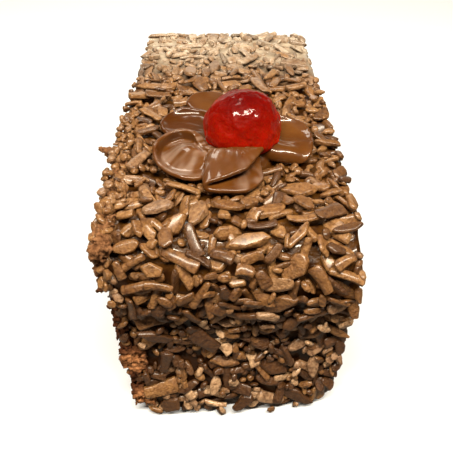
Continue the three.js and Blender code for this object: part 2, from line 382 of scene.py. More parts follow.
def add_piece(mesh: bpy.types.Mesh, finish: bpy.types.Material, part: Part, stands: bool) -> bpy.types.Object:
    """Puts a mesh into the scene as a piece of the slice.

    Args:
        mesh: the piece's shape, whose name it takes.
        finish: its material.
        part: the solid that it belongs to.
        stands: whether it stands for that solid.

    Returns:
        The piece's object.
    """
    piece = bpy.data.objects.new(mesh.name, mesh)
    bpy.context.scene.collection.objects.link(piece)
    mesh.materials.append(finish)
    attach(piece, BODY)
    if stands:
        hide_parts(part.value)
    triangles = sum(polygon.loop_total - 2 for polygon in mesh.polygons)
    LOG.info("%s: %d triangles", piece.name, triangles)
    return piece


# Finishes


class Nodes:
    """A tree of shader nodes."""

    def __init__(self, tree: bpy.types.NodeTree) -> None:
        """Takes the tree that nodes are added to."""
        self.tree = tree

    def feed(self, socket: bpy.types.NodeSocket, value: object) -> None:
        """Links another node's socket to a socket, or sets its value."""
        if isinstance(value, bpy.types.NodeSocket):
            self.tree.links.new(value, socket)
        else:
            socket.default_value = value

    def node(
        self, kind: str, inputs: dict[int | str, object], output: int | str = 0, **settings: object
    ) -> bpy.types.NodeSocket:
        """Adds a node.

        Args:
            kind: the node's type.
            inputs: a value or another node's socket for each input, by name or number.
            output: the output wanted.
            settings: the node's own properties.

        Returns:
            That output's socket.
        """
        made = self.tree.nodes.new(kind)
        for name, value in settings.items():
            setattr(made, name, value)
        for name, value in inputs.items():
            self.feed(made.inputs[name], value)
        return made.outputs[output]

    def mix(
        self, share: bpy.types.NodeSocket, under: object, over: object, blend: str = "MIX"
    ) -> bpy.types.NodeSocket:
        """One colour laid over another by a share."""
        made = self.tree.nodes.new("ShaderNodeMix")
        made.data_type = "RGBA"
        made.blend_type = blend
        self.feed(made.inputs["Factor"], share)
        colours = [socket for socket in made.inputs if socket.type == "RGBA"]
        for socket, colour in zip(colours, (under, over)):
            self.feed(socket, colour if isinstance(colour, bpy.types.NodeSocket) else (*colour, 1.0))
        return next(socket for socket in made.outputs if socket.type == "RGBA")

    def times(self, first: bpy.types.NodeSocket, second: bpy.types.NodeSocket) -> bpy.types.NodeSocket:
        """One number multiplied by another."""
        return self.node("ShaderNodeMath", {0: first, 1: second}, operation="MULTIPLY")


class Shader(Nodes):
    """A material put together around one Principled surface."""

    def __init__(self, name: str, **constants: float | Sequence[float]) -> None:
        """Starts the material.

        Args:
            name: the material's name.
            constants: values for the surface's own sockets, named with _ for spaces.
        """
        self.material = bpy.data.materials.new(name)
        self.material.use_nodes = True
        super().__init__(self.material.node_tree)
        self.surface = self.tree.nodes["Principled BSDF"]
        self.place = self.node("ShaderNodeTexCoord", {}, "Object")
        self.dress(**constants)

    def dress(self, **sockets: object) -> bpy.types.Material:
        """Feeds the surface's own sockets, named with _ for spaces, and gives the material."""
        for name, value in sockets.items():
            self.feed(self.surface.inputs[name.replace("_", " ").title().replace("Ior", "IOR")], value)
        return self.material

    def speckle(self, size: float, detail: float = 4.0, rough: float = 0.6) -> bpy.types.NodeSocket:
        """Soft noise with features of a size in millimetres."""
        inputs = {"Vector": self.place, "Scale": 1.0 / (size * MM), "Detail": detail, "Roughness": rough}
        return self.node("ShaderNodeTexNoise", inputs)

    def attribute(self, name: str) -> bpy.types.NodeSocket:
        """A number stored on the mesh."""
        return self.node("ShaderNodeAttribute", {}, "Fac", attribute_name=name)

    def ramp(self, factor: bpy.types.NodeSocket, stops: Stops) -> bpy.types.NodeSocket:
        """Colours along a factor, from stops of a place and a colour."""
        made = self.tree.nodes.new("ShaderNodeValToRGB")
        self.feed(made.inputs["Fac"], factor)
        elements = made.color_ramp.elements
        while len(elements) < len(stops):
            elements.new(0.5)
        for element, (place, colour) in zip(elements, stops):
            element.position = place
            element.color = (*colour, 1.0)
        return made.outputs["Color"]

    def spread(
        self, value: bpy.types.NodeSocket, low: Range, high: Range = (0.0, 1.0)
    ) -> bpy.types.NodeSocket:
        """A value moved from one range to another, and kept within it."""
        inputs = {"Value": value, "From Min": low[0], "From Max": low[1]}
        return self.node("ShaderNodeMapRange", {**inputs, "To Min": high[0], "To Max": high[1]})

    def bump(self, height: bpy.types.NodeSocket, depth: float, under: object = None) -> bpy.types.NodeSocket:
        """Fine relief of a depth in millimetres, over other relief if given."""
        inputs = {"Height": height, "Distance": depth * MM}
        if under is not None:
            inputs["Normal"] = under
        return self.node("ShaderNodeBump", inputs, "Normal")

    def with_painted_glare(
        self, colour: bpy.types.NodeSocket, pale: Rgb, size: float, least: float, band: Range = (0.35, 0.65)
    ) -> bpy.types.NodeSocket:
        """A colour with the painted glare, a pale patchy highlight, that is stored on the mesh.

        Args:
            colour: the colour below it.
            pale: the painted glare's colour.
            size: how large its patches are, in millimetres.
            least: how much of it is left between them.
            band: the noise that runs from the one to the other.

        Returns:
            The socket of the colour.
        """
        patches = self.spread(self.speckle(size), band, (least, 1.0))
        return self.mix(self.times(self.attribute("painted_glare"), patches), colour, pale)


@dataclass(frozen=True)
class FlakeFinish:
    """Broken milk chocolate: dull and waxy, with painted glare, a pale patchy highlight, towards the back of
    the top.
    """

    stops: Stops = (
        (0.0, (0.090, 0.034, 0.008)),
        (0.16, (0.186, 0.080, 0.022)),
        (0.44, (0.282, 0.133, 0.042)),
        (0.68, (0.350, 0.178, 0.064)),
        (0.8, (0.325, 0.186, 0.100)),
        # The last stop is a painted highlight, the colour of the glinting flakes on the walls; other flakes
        # stay below it.
        (1.0, (0.640, 0.410, 0.235)),
    )
    stain: Rgb = (0.095, 0.038, 0.010)
    stain_size: float = 2.2
    stain_band: Range = (0.5, 0.7)
    stain_share: Range = (0.0, 0.6)
    mottle: Rgb = (0.52, 0.42, 0.34)
    mottle_size: float = 0.9
    mottle_band: Range = (0.42, 0.66)
    # pale, pale_size and pale_least are the painted glare, a pale patchy highlight towards the back of the
    # top.
    pale: Rgb = (0.710, 0.600, 0.470)
    pale_size: float = 3.0
    pale_least: float = 0.15
    dull_band: Range = (0.3, 0.7)
    dullness: Range = (0.34, 0.52)
    grain: float = 0.45
    grain_depth: float = 0.34
    dent: float = 1.5
    dent_depth: float = 0.75

    def material(self) -> bpy.types.Material:
        """The material of all flakes, whose shade follows each flake's own tint."""
        shader = Shader("milk_chocolate", coat_weight=0.65, coat_roughness=0.22, specular_ior_level=0.35)
        shade = shader.ramp(shader.attribute("tint"), self.stops)
        wet = shader.spread(shader.speckle(self.stain_size), self.stain_band, self.stain_share)
        colour = shader.mix(wet, shade, self.stain)
        spots = shader.spread(shader.speckle(self.mottle_size), self.mottle_band)
        colour = shader.mix(spots, colour, self.mottle, "MULTIPLY")
        # Painted glare, a pale highlight, towards the back of the top.
        colour = shader.with_painted_glare(colour, self.pale, self.pale_size, self.pale_least)
        fine = shader.speckle(self.grain)
        relief = shader.bump(shader.speckle(self.dent), self.dent_depth)
        relief = shader.bump(fine, self.grain_depth, relief)
        rough = shader.spread(fine, self.dull_band, self.dullness)
        return shader.dress(base_color=colour, roughness=rough, normal=relief)


@dataclass(frozen=True)
class GlazeFinish:
    """Wet glaze, dark and amber in patches on the top, painted dark as shade down the walls, and with painted
    glare towards the back of the top.
    """

    dark_and_wall_shade: Rgb = (0.026, 0.008, 0.0015)
    amber_on_top: Rgb = (0.105, 0.041, 0.007)
    # pale, pale_size and pale_least are the painted glare, a pale patchy highlight towards the back of the
    # top.
    pale: Rgb = (0.570, 0.475, 0.360)
    patch: float = 4.0
    patch_band: Range = (0.4, 0.68)
    pale_size: float = 5.0
    pale_least: float = 0.4
    ripple: float = 0.9
    ripple_depth: float = 0.22

    def material(self) -> bpy.types.Material:
        """The glaze's material."""
        shader = Shader(
            "wet_glaze", roughness=0.28, specular_ior_level=0.12, coat_weight=0.4, coat_roughness=0.06
        )
        patches = shader.spread(shader.speckle(self.patch), self.patch_band)
        # Painted shade: down the walls the glaze takes the dark colour all over; amber patches show only on
        # the top.
        colour = shader.mix(shader.times(shader.attribute("amber_on_top"), patches), self.dark_and_wall_shade, self.amber_on_top)
        # Painted glare, a pale highlight, towards the back of the top.
        colour = shader.with_painted_glare(colour, self.pale, self.pale_size, self.pale_least)
        relief = shader.bump(shader.speckle(self.ripple, detail=2.0), self.ripple_depth)
        return shader.dress(base_color=colour, normal=relief)


@dataclass(frozen=True)
class SpongeFinish:
    """Moist chocolate sponge, reddish where it is torn and darker in its pores, with painted shade on its low
    clumps at the front and two brighter spots among them.
    """

    stops: Stops = (
        (0.3, (0.045, 0.015, 0.005)),
        (0.5, (0.190, 0.082, 0.032)),
        (0.78, (0.410, 0.205, 0.098)),
    )
    # Painted shade: multiplies the colour of the low clumps at the front; the next colour brightens two spots
    # among them.
    painted_shade_low: Rgb = (0.42, 0.28, 0.20)
    brighter_spot: Rgb = (1.7, 1.65, 1.6)
    clump: float = 1.1
    grain: float = 0.35
    grain_depth: float = 0.3

    def material(self) -> bpy.types.Material:
        """The sponge's material."""
        shader = Shader("chocolate_sponge", roughness=0.9, specular_ior_level=0.25)
        colour = shader.ramp(shader.speckle(self.clump, detail=6.0, rough=0.7), self.stops)
        # Painted shade on the low clumps at the front, then two brighter spots.
        colour = shader.mix(shader.attribute("painted_shade_low"), colour, self.painted_shade_low, "MULTIPLY")
        colour = shader.mix(shader.attribute("brighter_spot"), colour, self.brighter_spot, "MULTIPLY")
        relief = shader.bump(shader.speckle(self.grain, detail=3.0, rough=0.7), self.grain_depth)
        return shader.dress(base_color=colour, normal=relief)


@dataclass(frozen=True)
class PetalFinish:
    """Piped chocolate that has set with a gloss, with a painted sheen on two petals and painted shade on one.
    """

    body: Rgb = (0.085, 0.026, 0.0035)
    pale: Rgb = (0.120, 0.042, 0.008)
    # Painted shade for the back left petal.
    painted_petal_shade: Rgb = (0.067, 0.018, 0.0015)
    # Painted sheen: a streaky greyish reflection on two petals.
    painted_petal_sheen: Rgb = (0.300, 0.205, 0.155)
    patch: float = 6.0
    patch_band: Range = (0.35, 0.7)
    ripple: float = 2.5
    ripple_depth: float = 0.12

    def material(self) -> bpy.types.Material:
        """The flower's material."""
        shader = Shader(
            "glossy_chocolate",
            roughness=0.36,
            specular_ior_level=0.15,
            coat_weight=0.8,
            coat_roughness=0.08,
            subsurface_weight=0.12,
            subsurface_radius=(1.0, 0.4, 0.15),
            subsurface_scale=0.0012,
        )
        patches = shader.spread(shader.speckle(self.patch, detail=2.0), self.patch_band)
        colour = shader.mix(patches, self.body, self.pale)
        # Painted shade on the back left petal.
        colour = shader.mix(shader.attribute("painted_petal_shade"), colour, self.painted_petal_shade)
        # Painted sheen, a streaky greyish reflection, on two petals.
        colour = shader.mix(shader.attribute("painted_petal_sheen"), colour, self.painted_petal_sheen)
        relief = shader.bump(shader.speckle(self.ripple, detail=2.0), self.ripple_depth)
        return shader.dress(base_color=colour, normal=relief)


@dataclass(frozen=True)
class CherryFinish:
    """Candied cherry: translucent red under a wet skin of syrup."""

    # Painted light: foot is brighter, a painted glow of light through the flesh; crown is darker towards the
    # top, painted shade.
    foot: Rgb = (0.420, 0.010, 0.0006)
    crown: Rgb = (0.095, 0.0006, 0.0003)
    patch: float = 5.0
    unevenness: float = 0.3
    ripple: float = 1.0
    ripple_depth: float = 0.26

    def material(self, low: float, high: float) -> bpy.types.Material:
        """The cherry's material.

        Args:
            low: the height of its foot, in millimetres.
            high: the height of its crown.

        Returns:
            A material painted brighter towards the foot, as a glow of light coming through the flesh, and
            darker towards the crown, as painted shade.
        """
        shader = Shader(
            "candied_cherry",
            roughness=0.4,
            specular_ior_level=0.05,
            coat_weight=0.36,
            coat_roughness=0.08,
            subsurface_weight=0.75,
            subsurface_radius=(1.0, 0.08, 0.04),
            subsurface_scale=0.004,
        )
        # Painted glow towards the foot and painted shade towards the crown, by height.
        height = shader.node("ShaderNodeSeparateXYZ", {0: shader.place}, "Z")
        patches = shader.speckle(self.patch, detail=2.0)
        half = self.unevenness / 2
        share = shader.spread(height, (low * MM, high * MM), (-half, 1.0 - half))
        inputs = {0: patches, 1: self.unevenness, 2: share}
        share = shader.node("ShaderNodeMath", inputs, operation="MULTIPLY_ADD")
        colour = shader.mix(share, self.foot, self.crown)
        relief = shader.bump(shader.speckle(self.ripple, detail=2.0), self.ripple_depth)
        return shader.dress(base_color=colour, normal=relief)


@dataclass(frozen=True)
class FloorFinish:
    """A pale matt table that throws little light back up, so that the walls of the slice stay in shade."""

    seen: Rgb = (0.80, 0.85, 0.94)
    thrown: Rgb = (0.16, 0.15, 0.14)

    def material(self) -> bpy.types.Material:
        """The floor's material."""
        shader = Shader("pale_table", roughness=0.9, specular_ior_level=0.0)
        direct = shader.node("ShaderNodeLightPath", {}, "Is Camera Ray")
        return shader.dress(base_color=shader.mix(direct, self.thrown, self.seen))


# The slice's form


@dataclass(frozen=True)
class SliceForm:
    """The form that all pieces share: a long block with round top edges, walls drawn in and feet pinched."""

    width: float = 54.5
    depth: float = 125.0
    height: float = 53.2
    coat: float = 2.4
    gap: float = 0.3
    edge_radius: float = 12.0
    crown: float = 0.8
    waist: float = 3.0
    waist_top: float = 0.95
    shoulder: Range = (0.8, 1.0)
    taper: float = 1.2
    slip: float = 1.8
    foot_turn: float = 4.0
    belly: float = 0.7
    belly_top: float = 0.75
    foot_pinch: float = 5.0
    foot_height: float = 15.0
    foot_run: float = 24.0
    cherry_x: float = 4.0
    shift: Array = field(init=False)
    walked: Array = field(init=False)
    paced: Array = field(init=False)

    def __post_init__(self) -> None:
        """Takes the slice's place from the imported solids."""
        cherry_low, cherry_high = Part.CHERRY.box()
        middle = (cherry_low[0] + cherry_high[0]) / 2 - self.cherry_x
        _, sponge_high = Part.SPONGE.box()
        back = self.depth / 2 - self.inset
        self.keep("shift", np.array([middle, sponge_high[1] - back, 0.0]))
        pace = 0.25
        walked = np.arange(0.0, self.block_run, pace)
        line = self.over_block(walked, np.zeros_like(walked))
        steps = np.linalg.norm(np.diff(line, axis=0), axis=1)
        self.keep("walked", walked)
        self.keep("paced", np.concatenate([[0.0], np.cumsum(steps)]))

    def keep(self, name: str, value: object) -> None:
        """Sets a size that is worked out once."""
        object.__setattr__(self, name, value)

    @property
    def block_run(self) -> float:
        """How far it is over the plain block's wall, top and wall."""
        return 2 * self.height + self.depth

    @property
    def run(self) -> float:
        """How far it is over the glaze from the front foot to the back foot."""
        return float(self.paced[-1])

    @property
    def inset(self) -> float:
        """How far the sponge lies inside the glaze."""
        return self.coat + self.gap

    @property
    def sponge_depth(self) -> float:
        """The sponge's length from front to back."""
        return self.depth - 2 * self.inset

    @property
    def sponge_height(self) -> float:
        """The sponge's height."""
        return self.height - self.inset

    def shape(self, points: Array, wall: float = 0.0) -> Array:
        """Moves points of a plain block on the floor to their places in the slice.

        Args:
            points: rows of x, y and z in the block.
            wall: how far the block is inset from the glaze.

        Returns:
            The rows in the frame.
        """
        x, y, z = np.asarray(points, float).T
        depth = self.depth - 2 * wall
        height = self.height - wall
        radius = self.edge_radius - wall
        over_edge = np.abs(y) - (depth / 2 - radius)
        over_top = z - (height - radius)
        round_off = (over_edge > 0) & (over_top > 0)
        reach = np.maximum(np.hypot(over_edge, over_top), TINY)
        pull = np.maximum(over_edge, over_top) / reach
        y = np.where(round_off, np.sign(y) * (depth / 2 - radius + over_edge * pull), y)
        z = np.where(round_off, height - radius + over_top * pull, z)
        along = y / (depth / 2)
        up = z / height
        at_wall = np.clip((np.abs(y) - (depth / 2 - self.foot_run)) / self.foot_run, 0.0, 1.0)
        at_foot = np.clip(1.0 - z / self.foot_height, 0.0, 1.0)
        pinch = self.foot_pinch * at_wall**2 * (1.0 - np.sqrt(1.0 - at_foot**2))
        swell = self.belly * (1.0 - along**2) * np.sin(np.pi * np.minimum(up, self.belly_top))
        below = 1.0 - smoothstep(up, *self.shoulder)
        at_front = np.minimum(along, 0.0) ** 2
        x = x * (1.0 + (swell - pinch - self.taper * below * along**4) / (self.width / 2))
        x = x + self.slip * below * at_front
        at_waist = np.sin(np.pi * np.minimum(up / self.waist_top, 1.0)) ** 2
        y = y - self.waist * at_waist * along * np.abs(along)
        y = y + self.foot_turn * (1.0 - up) ** 2 * at_front * (x / self.width + 0.5)
        z = z + self.crown * up * (1.0 - along**2)
        return np.column_stack([x, y, z]) + self.shift

    def over_block(self, walked: Array, across: Array) -> Array:
        """Points of the glaze.

        Args:
            walked: how far along the plain block's wall, top and wall.
            across: how far from its middle line.

        Returns:
            The points in the frame.
        """
        z = np.minimum(np.minimum(walked, self.height), self.block_run - walked)
        y = np.clip(walked - self.height - self.depth / 2, -self.depth / 2, self.depth / 2)
        return self.shape(np.column_stack([across, y, z]))

    def on_glaze(self, run: Array, across: Array) -> Array:
        """Points of the glaze at a true distance from the front foot and from the middle line."""
        return self.over_block(np.interp(run, self.paced, self.walked), across)

    def glaze_axes(self, run: Array, across: Array) -> tuple[Array, Array, Array, Array]:
        """Points of the glaze with the ways across, along and out of it there."""
        step = 0.6
        point = self.on_glaze(run, across)
        forward = unit(self.on_glaze(run + step, across) - self.on_glaze(run - step, across))
        side = unit(self.on_glaze(run, across + step) - self.on_glaze(run, across - step))
        return point, side, forward, unit(np.cross(side, forward))

    def top(self, y: Array) -> Array:
        """The height of the glaze at a distance along the slice's middle line, in the frame."""
        plain = np.asarray(y, float) - self.shift[1]
        rows = np.column_stack([np.zeros_like(plain), plain, np.full_like(plain, self.height)])
        return self.shape(rows)[:, 2]

    def unrolled(self, points: Array) -> tuple[Array, Array, Array]:
        """Where points over the top lie on the unrolled glaze: along it, across it and above it."""
        along = points[:, 1] - self.shift[1] + self.height + self.depth / 2
        run = np.interp(along, self.walked, self.paced)
        return run, points[:, 0] - self.shift[0], points[:, 2] - self.top(points[:, 1])


# Flakes


@dataclass
class Flake:
    """One flake: its template, its size, and where and how it lies on the unrolled glaze."""

    template: Template
    run: float
    across: float
    heading: float
    length: float
    width: float
    thickness: float
    tint: float
    luck: float
    lean: tuple[float, float] = (0.0, 0.0)
    height: float = 0.0
    slope: tuple[float, float] = (0.0, 0.0)


@dataclass
class FlakeBed:
    """The glaze unrolled flat, with the height of all that lies on it so far."""

    length: float
    width: float
    cell: float = 0.3
    margin: float = 4.0
    steepest: float = 1.1
    bite: float = 0.25
    deepest: float = 4.0
    squareness: float = 2.5
    least_cells: int = 4
    least_above: int = 6
    fits: int = 3
    resting_percent: float = 85.0
    edge_drop: float = 0.35
    look_round: Sequence[int] = (-2, 0, 2)
    heights: Array = field(init=False)
    ceiling: Array = field(init=False)

    def __post_init__(self) -> None:
        """Starts with bare glaze and nothing above it."""
        rows = math.ceil((self.length + 2 * self.margin) / self.cell)
        columns = math.ceil((self.width + 2 * self.margin) / self.cell)
        self.heights = np.zeros((rows, columns))
        self.ceiling = np.full((rows, columns), self.deepest + self.bite)

    def cells(self, run: Array, across: Array) -> tuple[Array, Array]:
        """The cells that places on the glaze fall in."""
        row = np.floor((np.asarray(run) + self.margin) / self.cell).astype(int)
        column = np.floor((np.asarray(across) + self.width / 2 + self.margin) / self.cell).astype(int)
        rows, columns = self.heights.shape
        return np.clip(row, 0, rows - 1), np.clip(column, 0, columns - 1)

    def cover(self, run: Array, across: Array, height: Array) -> None:
        """Keeps what comes later below points that hang over the glaze."""
        row, column = self.cells(run, across)
        near = np.abs(across) < self.width / 2 + self.margin
        np.minimum.at(self.ceiling, (row[near], column[near]), height[near])
        wide = self.ceiling.copy()
        for shift in (-1, 1):
            for axis in (0, 1):
                wide = np.minimum(wide, np.roll(self.ceiling, shift, axis))
        self.ceiling = wide

    def settle(self, flake: Flake) -> bool:
        """Lays a flake on what is there, tilted to rest on the highest of it, and adds it to the bed.

        Args:
            flake: gets its height and slope.

        Returns:
            Whether there was room for it.
        """
        reach = flake.length / 2
        row, column = self.cells(flake.run, flake.across)
        span = math.ceil(reach / self.cell)
        rows = slice(max(row - span, 0), row + span + 1)
        columns = slice(max(column - span, 0), column + span + 1)
        bed = self.heights[rows, columns]
        ahead = (np.arange(rows.start, rows.start + bed.shape[0]) + 0.5) * self.cell - self.margin - flake.run
        aside = (np.arange(columns.start, columns.start + bed.shape[1]) + 0.5) * self.cell
        aside = aside - self.margin - self.width / 2 - flake.across
        ahead, aside = np.meshgrid(ahead, aside, indexing="ij")
        along = aside * math.cos(flake.heading) + ahead * math.sin(flake.heading)
        sideways = ahead * math.cos(flake.heading) - aside * math.sin(flake.heading)
        edge = np.abs(along / reach) ** self.squareness
        edge += np.abs(sideways / (flake.width / 2)) ** self.squareness
        under = edge < 1.0
        if under.sum() < self.least_cells:
            return False
        level = bed[under]
        table = np.column_stack([ahead[under], aside[under], np.ones(level.size)])
        slope = self.resting_slope(table, level) + flake.lean
        steep = math.hypot(*slope)
        if steep > self.steepest:
            slope = slope * (self.steepest / steep)
        rise = table[:, :2] @ slope
        lift = float(np.percentile(level - rise, self.resting_percent)) - self.bite
        top = rise + lift + flake.thickness * (1.0 - self.edge_drop * edge[under])
        if np.any(top > self.ceiling[rows, columns][under] - self.bite):
            return False
        flake.height = lift
        flake.slope = (float(slope[0]), float(slope[1]))
        bed[under] = np.maximum(level, top)
        return True

    def resting_slope(self, table: Array, level: Array) -> Array:
        """How a board lies on the highest of some points.

        Args:
            table: rows of the points' places ahead and aside, and 1.
            level: their heights.

        Returns:
            How fast the board rises ahead and aside.
        """
        chosen = np.ones(level.size, bool)
        plane = np.zeros(3)
        for _ in range(self.fits):
            plane = np.linalg.lstsq(table[chosen], level[chosen], rcond=None)[0]
            above = level - table @ plane >= 0.0
            if above.sum() < self.least_above:
                break
            chosen = above
        return plane[:2]

    def low_spot(self, places: Array) -> Array:
        """The place with the least on it, of rows of distances along and across."""
        row, column = self.cells(places[:, 0], places[:, 1])
        last_row, last_column = np.subtract(self.heights.shape, 1)
        total = np.zeros(len(places))
        for down in self.look_round:
            for side in self.look_round:
                near = np.clip(row + down, 0, last_row), np.clip(column + side, 0, last_column)
                total += self.heights[near]
        return places[np.argmin(total)]

    def pooled(self, depth: float, spread: float) -> Array:
        """How high wet glaze stands round what lies in it, blurred over a spread in millimetres."""
        level = np.minimum(self.heights, depth)
        reach = max(int(spread / self.cell), 1)
        kernel = np.hanning(2 * reach + 3)[1:-1]
        kernel /= kernel.sum()
        for axis in (0, 1):
            level = np.apply_along_axis(lambda line: np.convolve(line, kernel, mode="same"), axis, level)
        return level


@dataclass(frozen=True)
class FlakeSort:
    """One size of flake: how many lie about, how large they are, and which shapes they break into."""

    name: str
    count: int
    length: Range
    width: Range
    thickness: Range
    kinds: Sequence[Kind]
    templates: int
    seed: int
    lean: float = 0.12
    choices: int = 5
    rounding: int = 1
    band: Range | None = None

    def sizes(self, long: float, wide: float, thick: float) -> tuple[float, float, float]:
        """A flake's length, width and thickness, from shares of their ranges."""
        return lerp(self.length, long), lerp(self.width, wide), lerp(self.thickness, thick)


@dataclass
class FlakeMaker:
    """Breaks chocolate into templates, which are brought to unit length, width and thickness.

    Until then a chip or rod is about 2 long and a granule about 1, and the sizes here go by that.
    """

    seed: int
    rounding: int
    chip_sides: tuple[int, int] = (5, 9)
    chip_bluntness: float = 0.6
    chip_reach: Range = (0.68, 1.0)
    chip_width: Range = (0.36, 0.6)
    chip_height: float = 0.42
    chip_slant: float = 0.06
    chip_top: Place = (0.86, 0.82, 1.0)
    chip_uneven: float = 0.07
    chip_edge: float = 0.1
    chip_bend: Range = (-0.18, 0.25)
    warp: float = 0.12
    warp_pitch: float = 1.7
    warp_places: float = 50.0
    rod_sides: int = 7
    rod_girth: Range = (0.2, 0.3)
    rod_taper: Range = (0.6, 1.0)
    rod_cuts: int = 3
    rod_edge: float = 0.4
    rod_flatness: Range = (0.7, 0.95)
    rod_sway: float = 0.06
    rod_uneven: float = 0.022
    rod_bend: Range = (-0.1, 0.15)
    granule_reach: Range = (0.6, 1.0)
    granule_edge: float = 0.24
    rng: np.random.Generator = field(init=False)

    def __post_init__(self) -> None:
        """Starts the draws and the noise at the seed."""
        self.rng = np.random.default_rng(self.seed)
        noise.seed_set(self.seed)

    def make(self, kind: Kind) -> Template:
        """A template of a kind."""
        makers = {Kind.CHIP: self.chip, Kind.ROD: self.rod, Kind.GRANULE: self.granule}
        bm = makers[kind]()
        points = vert_points(bm.verts)
        low = points.min(axis=0)
        high = points.max(axis=0)
        middle = (low + high) / 2
        move(bm.verts, (points - [middle[0], middle[1], low[2]]) / (high - low))
        return Template.from_bmesh(bm)

    def chip(self) -> bmesh.types.BMesh:
        """A flat chip with a ragged outline, broken slantwise and bent a little."""
        bm = bmesh.new()
        sides = int(self.rng.integers(*self.chip_sides))
        ring = bmesh.ops.create_circle(bm, cap_ends=True, radius=1.0, segments=sides)["verts"]
        turn = Matrix.Rotation(self.rng.uniform(0.0, math.pi), 3, "Z")
        bmesh.ops.rotate(bm, cent=(0.0, 0.0, 0.0), matrix=turn, verts=ring)
        for vert in ring:
            blunt = max(abs(vert.co.x), abs(vert.co.y)) ** -self.chip_bluntness
            vert.co *= blunt * self.rng.uniform(*self.chip_reach)
        bmesh.ops.scale(bm, vec=(1.0, self.rng.uniform(*self.chip_width), 1.0), verts=ring)
        top = raised(bm, bm.faces[:])
        slant = self.rng.uniform(-self.chip_slant, self.chip_slant, 2)
        bmesh.ops.translate(bm, vec=(*slant, self.chip_height), verts=top)
        bmesh.ops.scale(bm, vec=self.chip_top, verts=top)
        for vert in bm.verts:
            vert.co.z += self.rng.uniform(-self.chip_uneven, self.chip_uneven)
        self.soften(bm, bm.edges[:], self.chip_edge, self.rounding)
        start = Vector(self.rng.uniform(0.0, self.warp_places, 3))
        for vert in bm.verts:
            vert.co += noise.noise_vector(vert.co * self.warp_pitch + start) * self.warp
        self.bend(bm, self.chip_bend)
        return bm

    def rod(self) -> bmesh.types.BMesh:
        """A thick curl that was broken off at both ends."""
        bm = bmesh.new()
        half = 1.0
        nearly_half = 0.99
        girth = self.rng.uniform(*self.rod_girth)
        far_girth = girth * self.rng.uniform(*self.rod_taper)
        bmesh.ops.create_cone(
            bm, cap_ends=True, segments=self.rod_sides, radius1=girth, radius2=far_girth, depth=2 * half
        )
        long_edges = [edge for edge in bm.edges if abs(edge.verts[0].co.z - edge.verts[1].co.z) > half]
        bmesh.ops.subdivide_edges(bm, edges=long_edges, cuts=self.rod_cuts)
        ends = [edge for edge in bm.edges if all(abs(vert.co.z) > nearly_half for vert in edge.verts)]
        self.soften(bm, ends, girth * self.rod_edge, clamp=False)
        points = vert_points(bm.verts)[:, [2, 0, 1]]
        points *= [1.0, 1.0, self.rng.uniform(*self.rod_flatness)]
        points[:, 1] += self.rng.uniform(-self.rod_sway, self.rod_sway) * points[:, 0] ** 2
        points += self.rng.uniform(-self.rod_uneven, self.rod_uneven, points.shape)
        move(bm.verts, points)
        self.bend(bm, self.rod_bend)
        return bm

    def granule(self) -> bmesh.types.BMesh:
        """A small lump with its corners broken off."""
        bm = bmesh.new()
        bmesh.ops.create_cube(bm, size=1.0)
        points = vert_points(bm.verts)
        move(bm.verts, points * self.rng.uniform(*self.granule_reach, points.shape))
        self.soften(bm, bm.edges[:], self.granule_edge)
        return bm

    def soften(
        self,
        bm: bmesh.types.BMesh,
        edges: Sequence[bmesh.types.BMEdge],
        width: float,
        segments: int = 1,
        clamp: bool = True,
    ) -> None:
        """Rounds edges of a flake.

        Args:
            bm: the flake.
            edges: its edges to round.
            width: how far each edge is set back.
            segments: how many faces take its place.
            clamp: whether the width gives way where there is no room for it.
        """
        bmesh.ops.bevel(
            bm, geom=edges, offset=width, offset_type="OFFSET", segments=segments, profile=0.5,
            affect="EDGES", clamp_overlap=clamp, material=-1,
        )

    def bend(self, bm: bmesh.types.BMesh, rises: Range) -> None:
        """Curls the ends up or down, by a rise drawn from a range."""
        rise = self.rng.uniform(*rises)
        for vert in bm.verts:
            vert.co.z += rise * vert.co.x**2


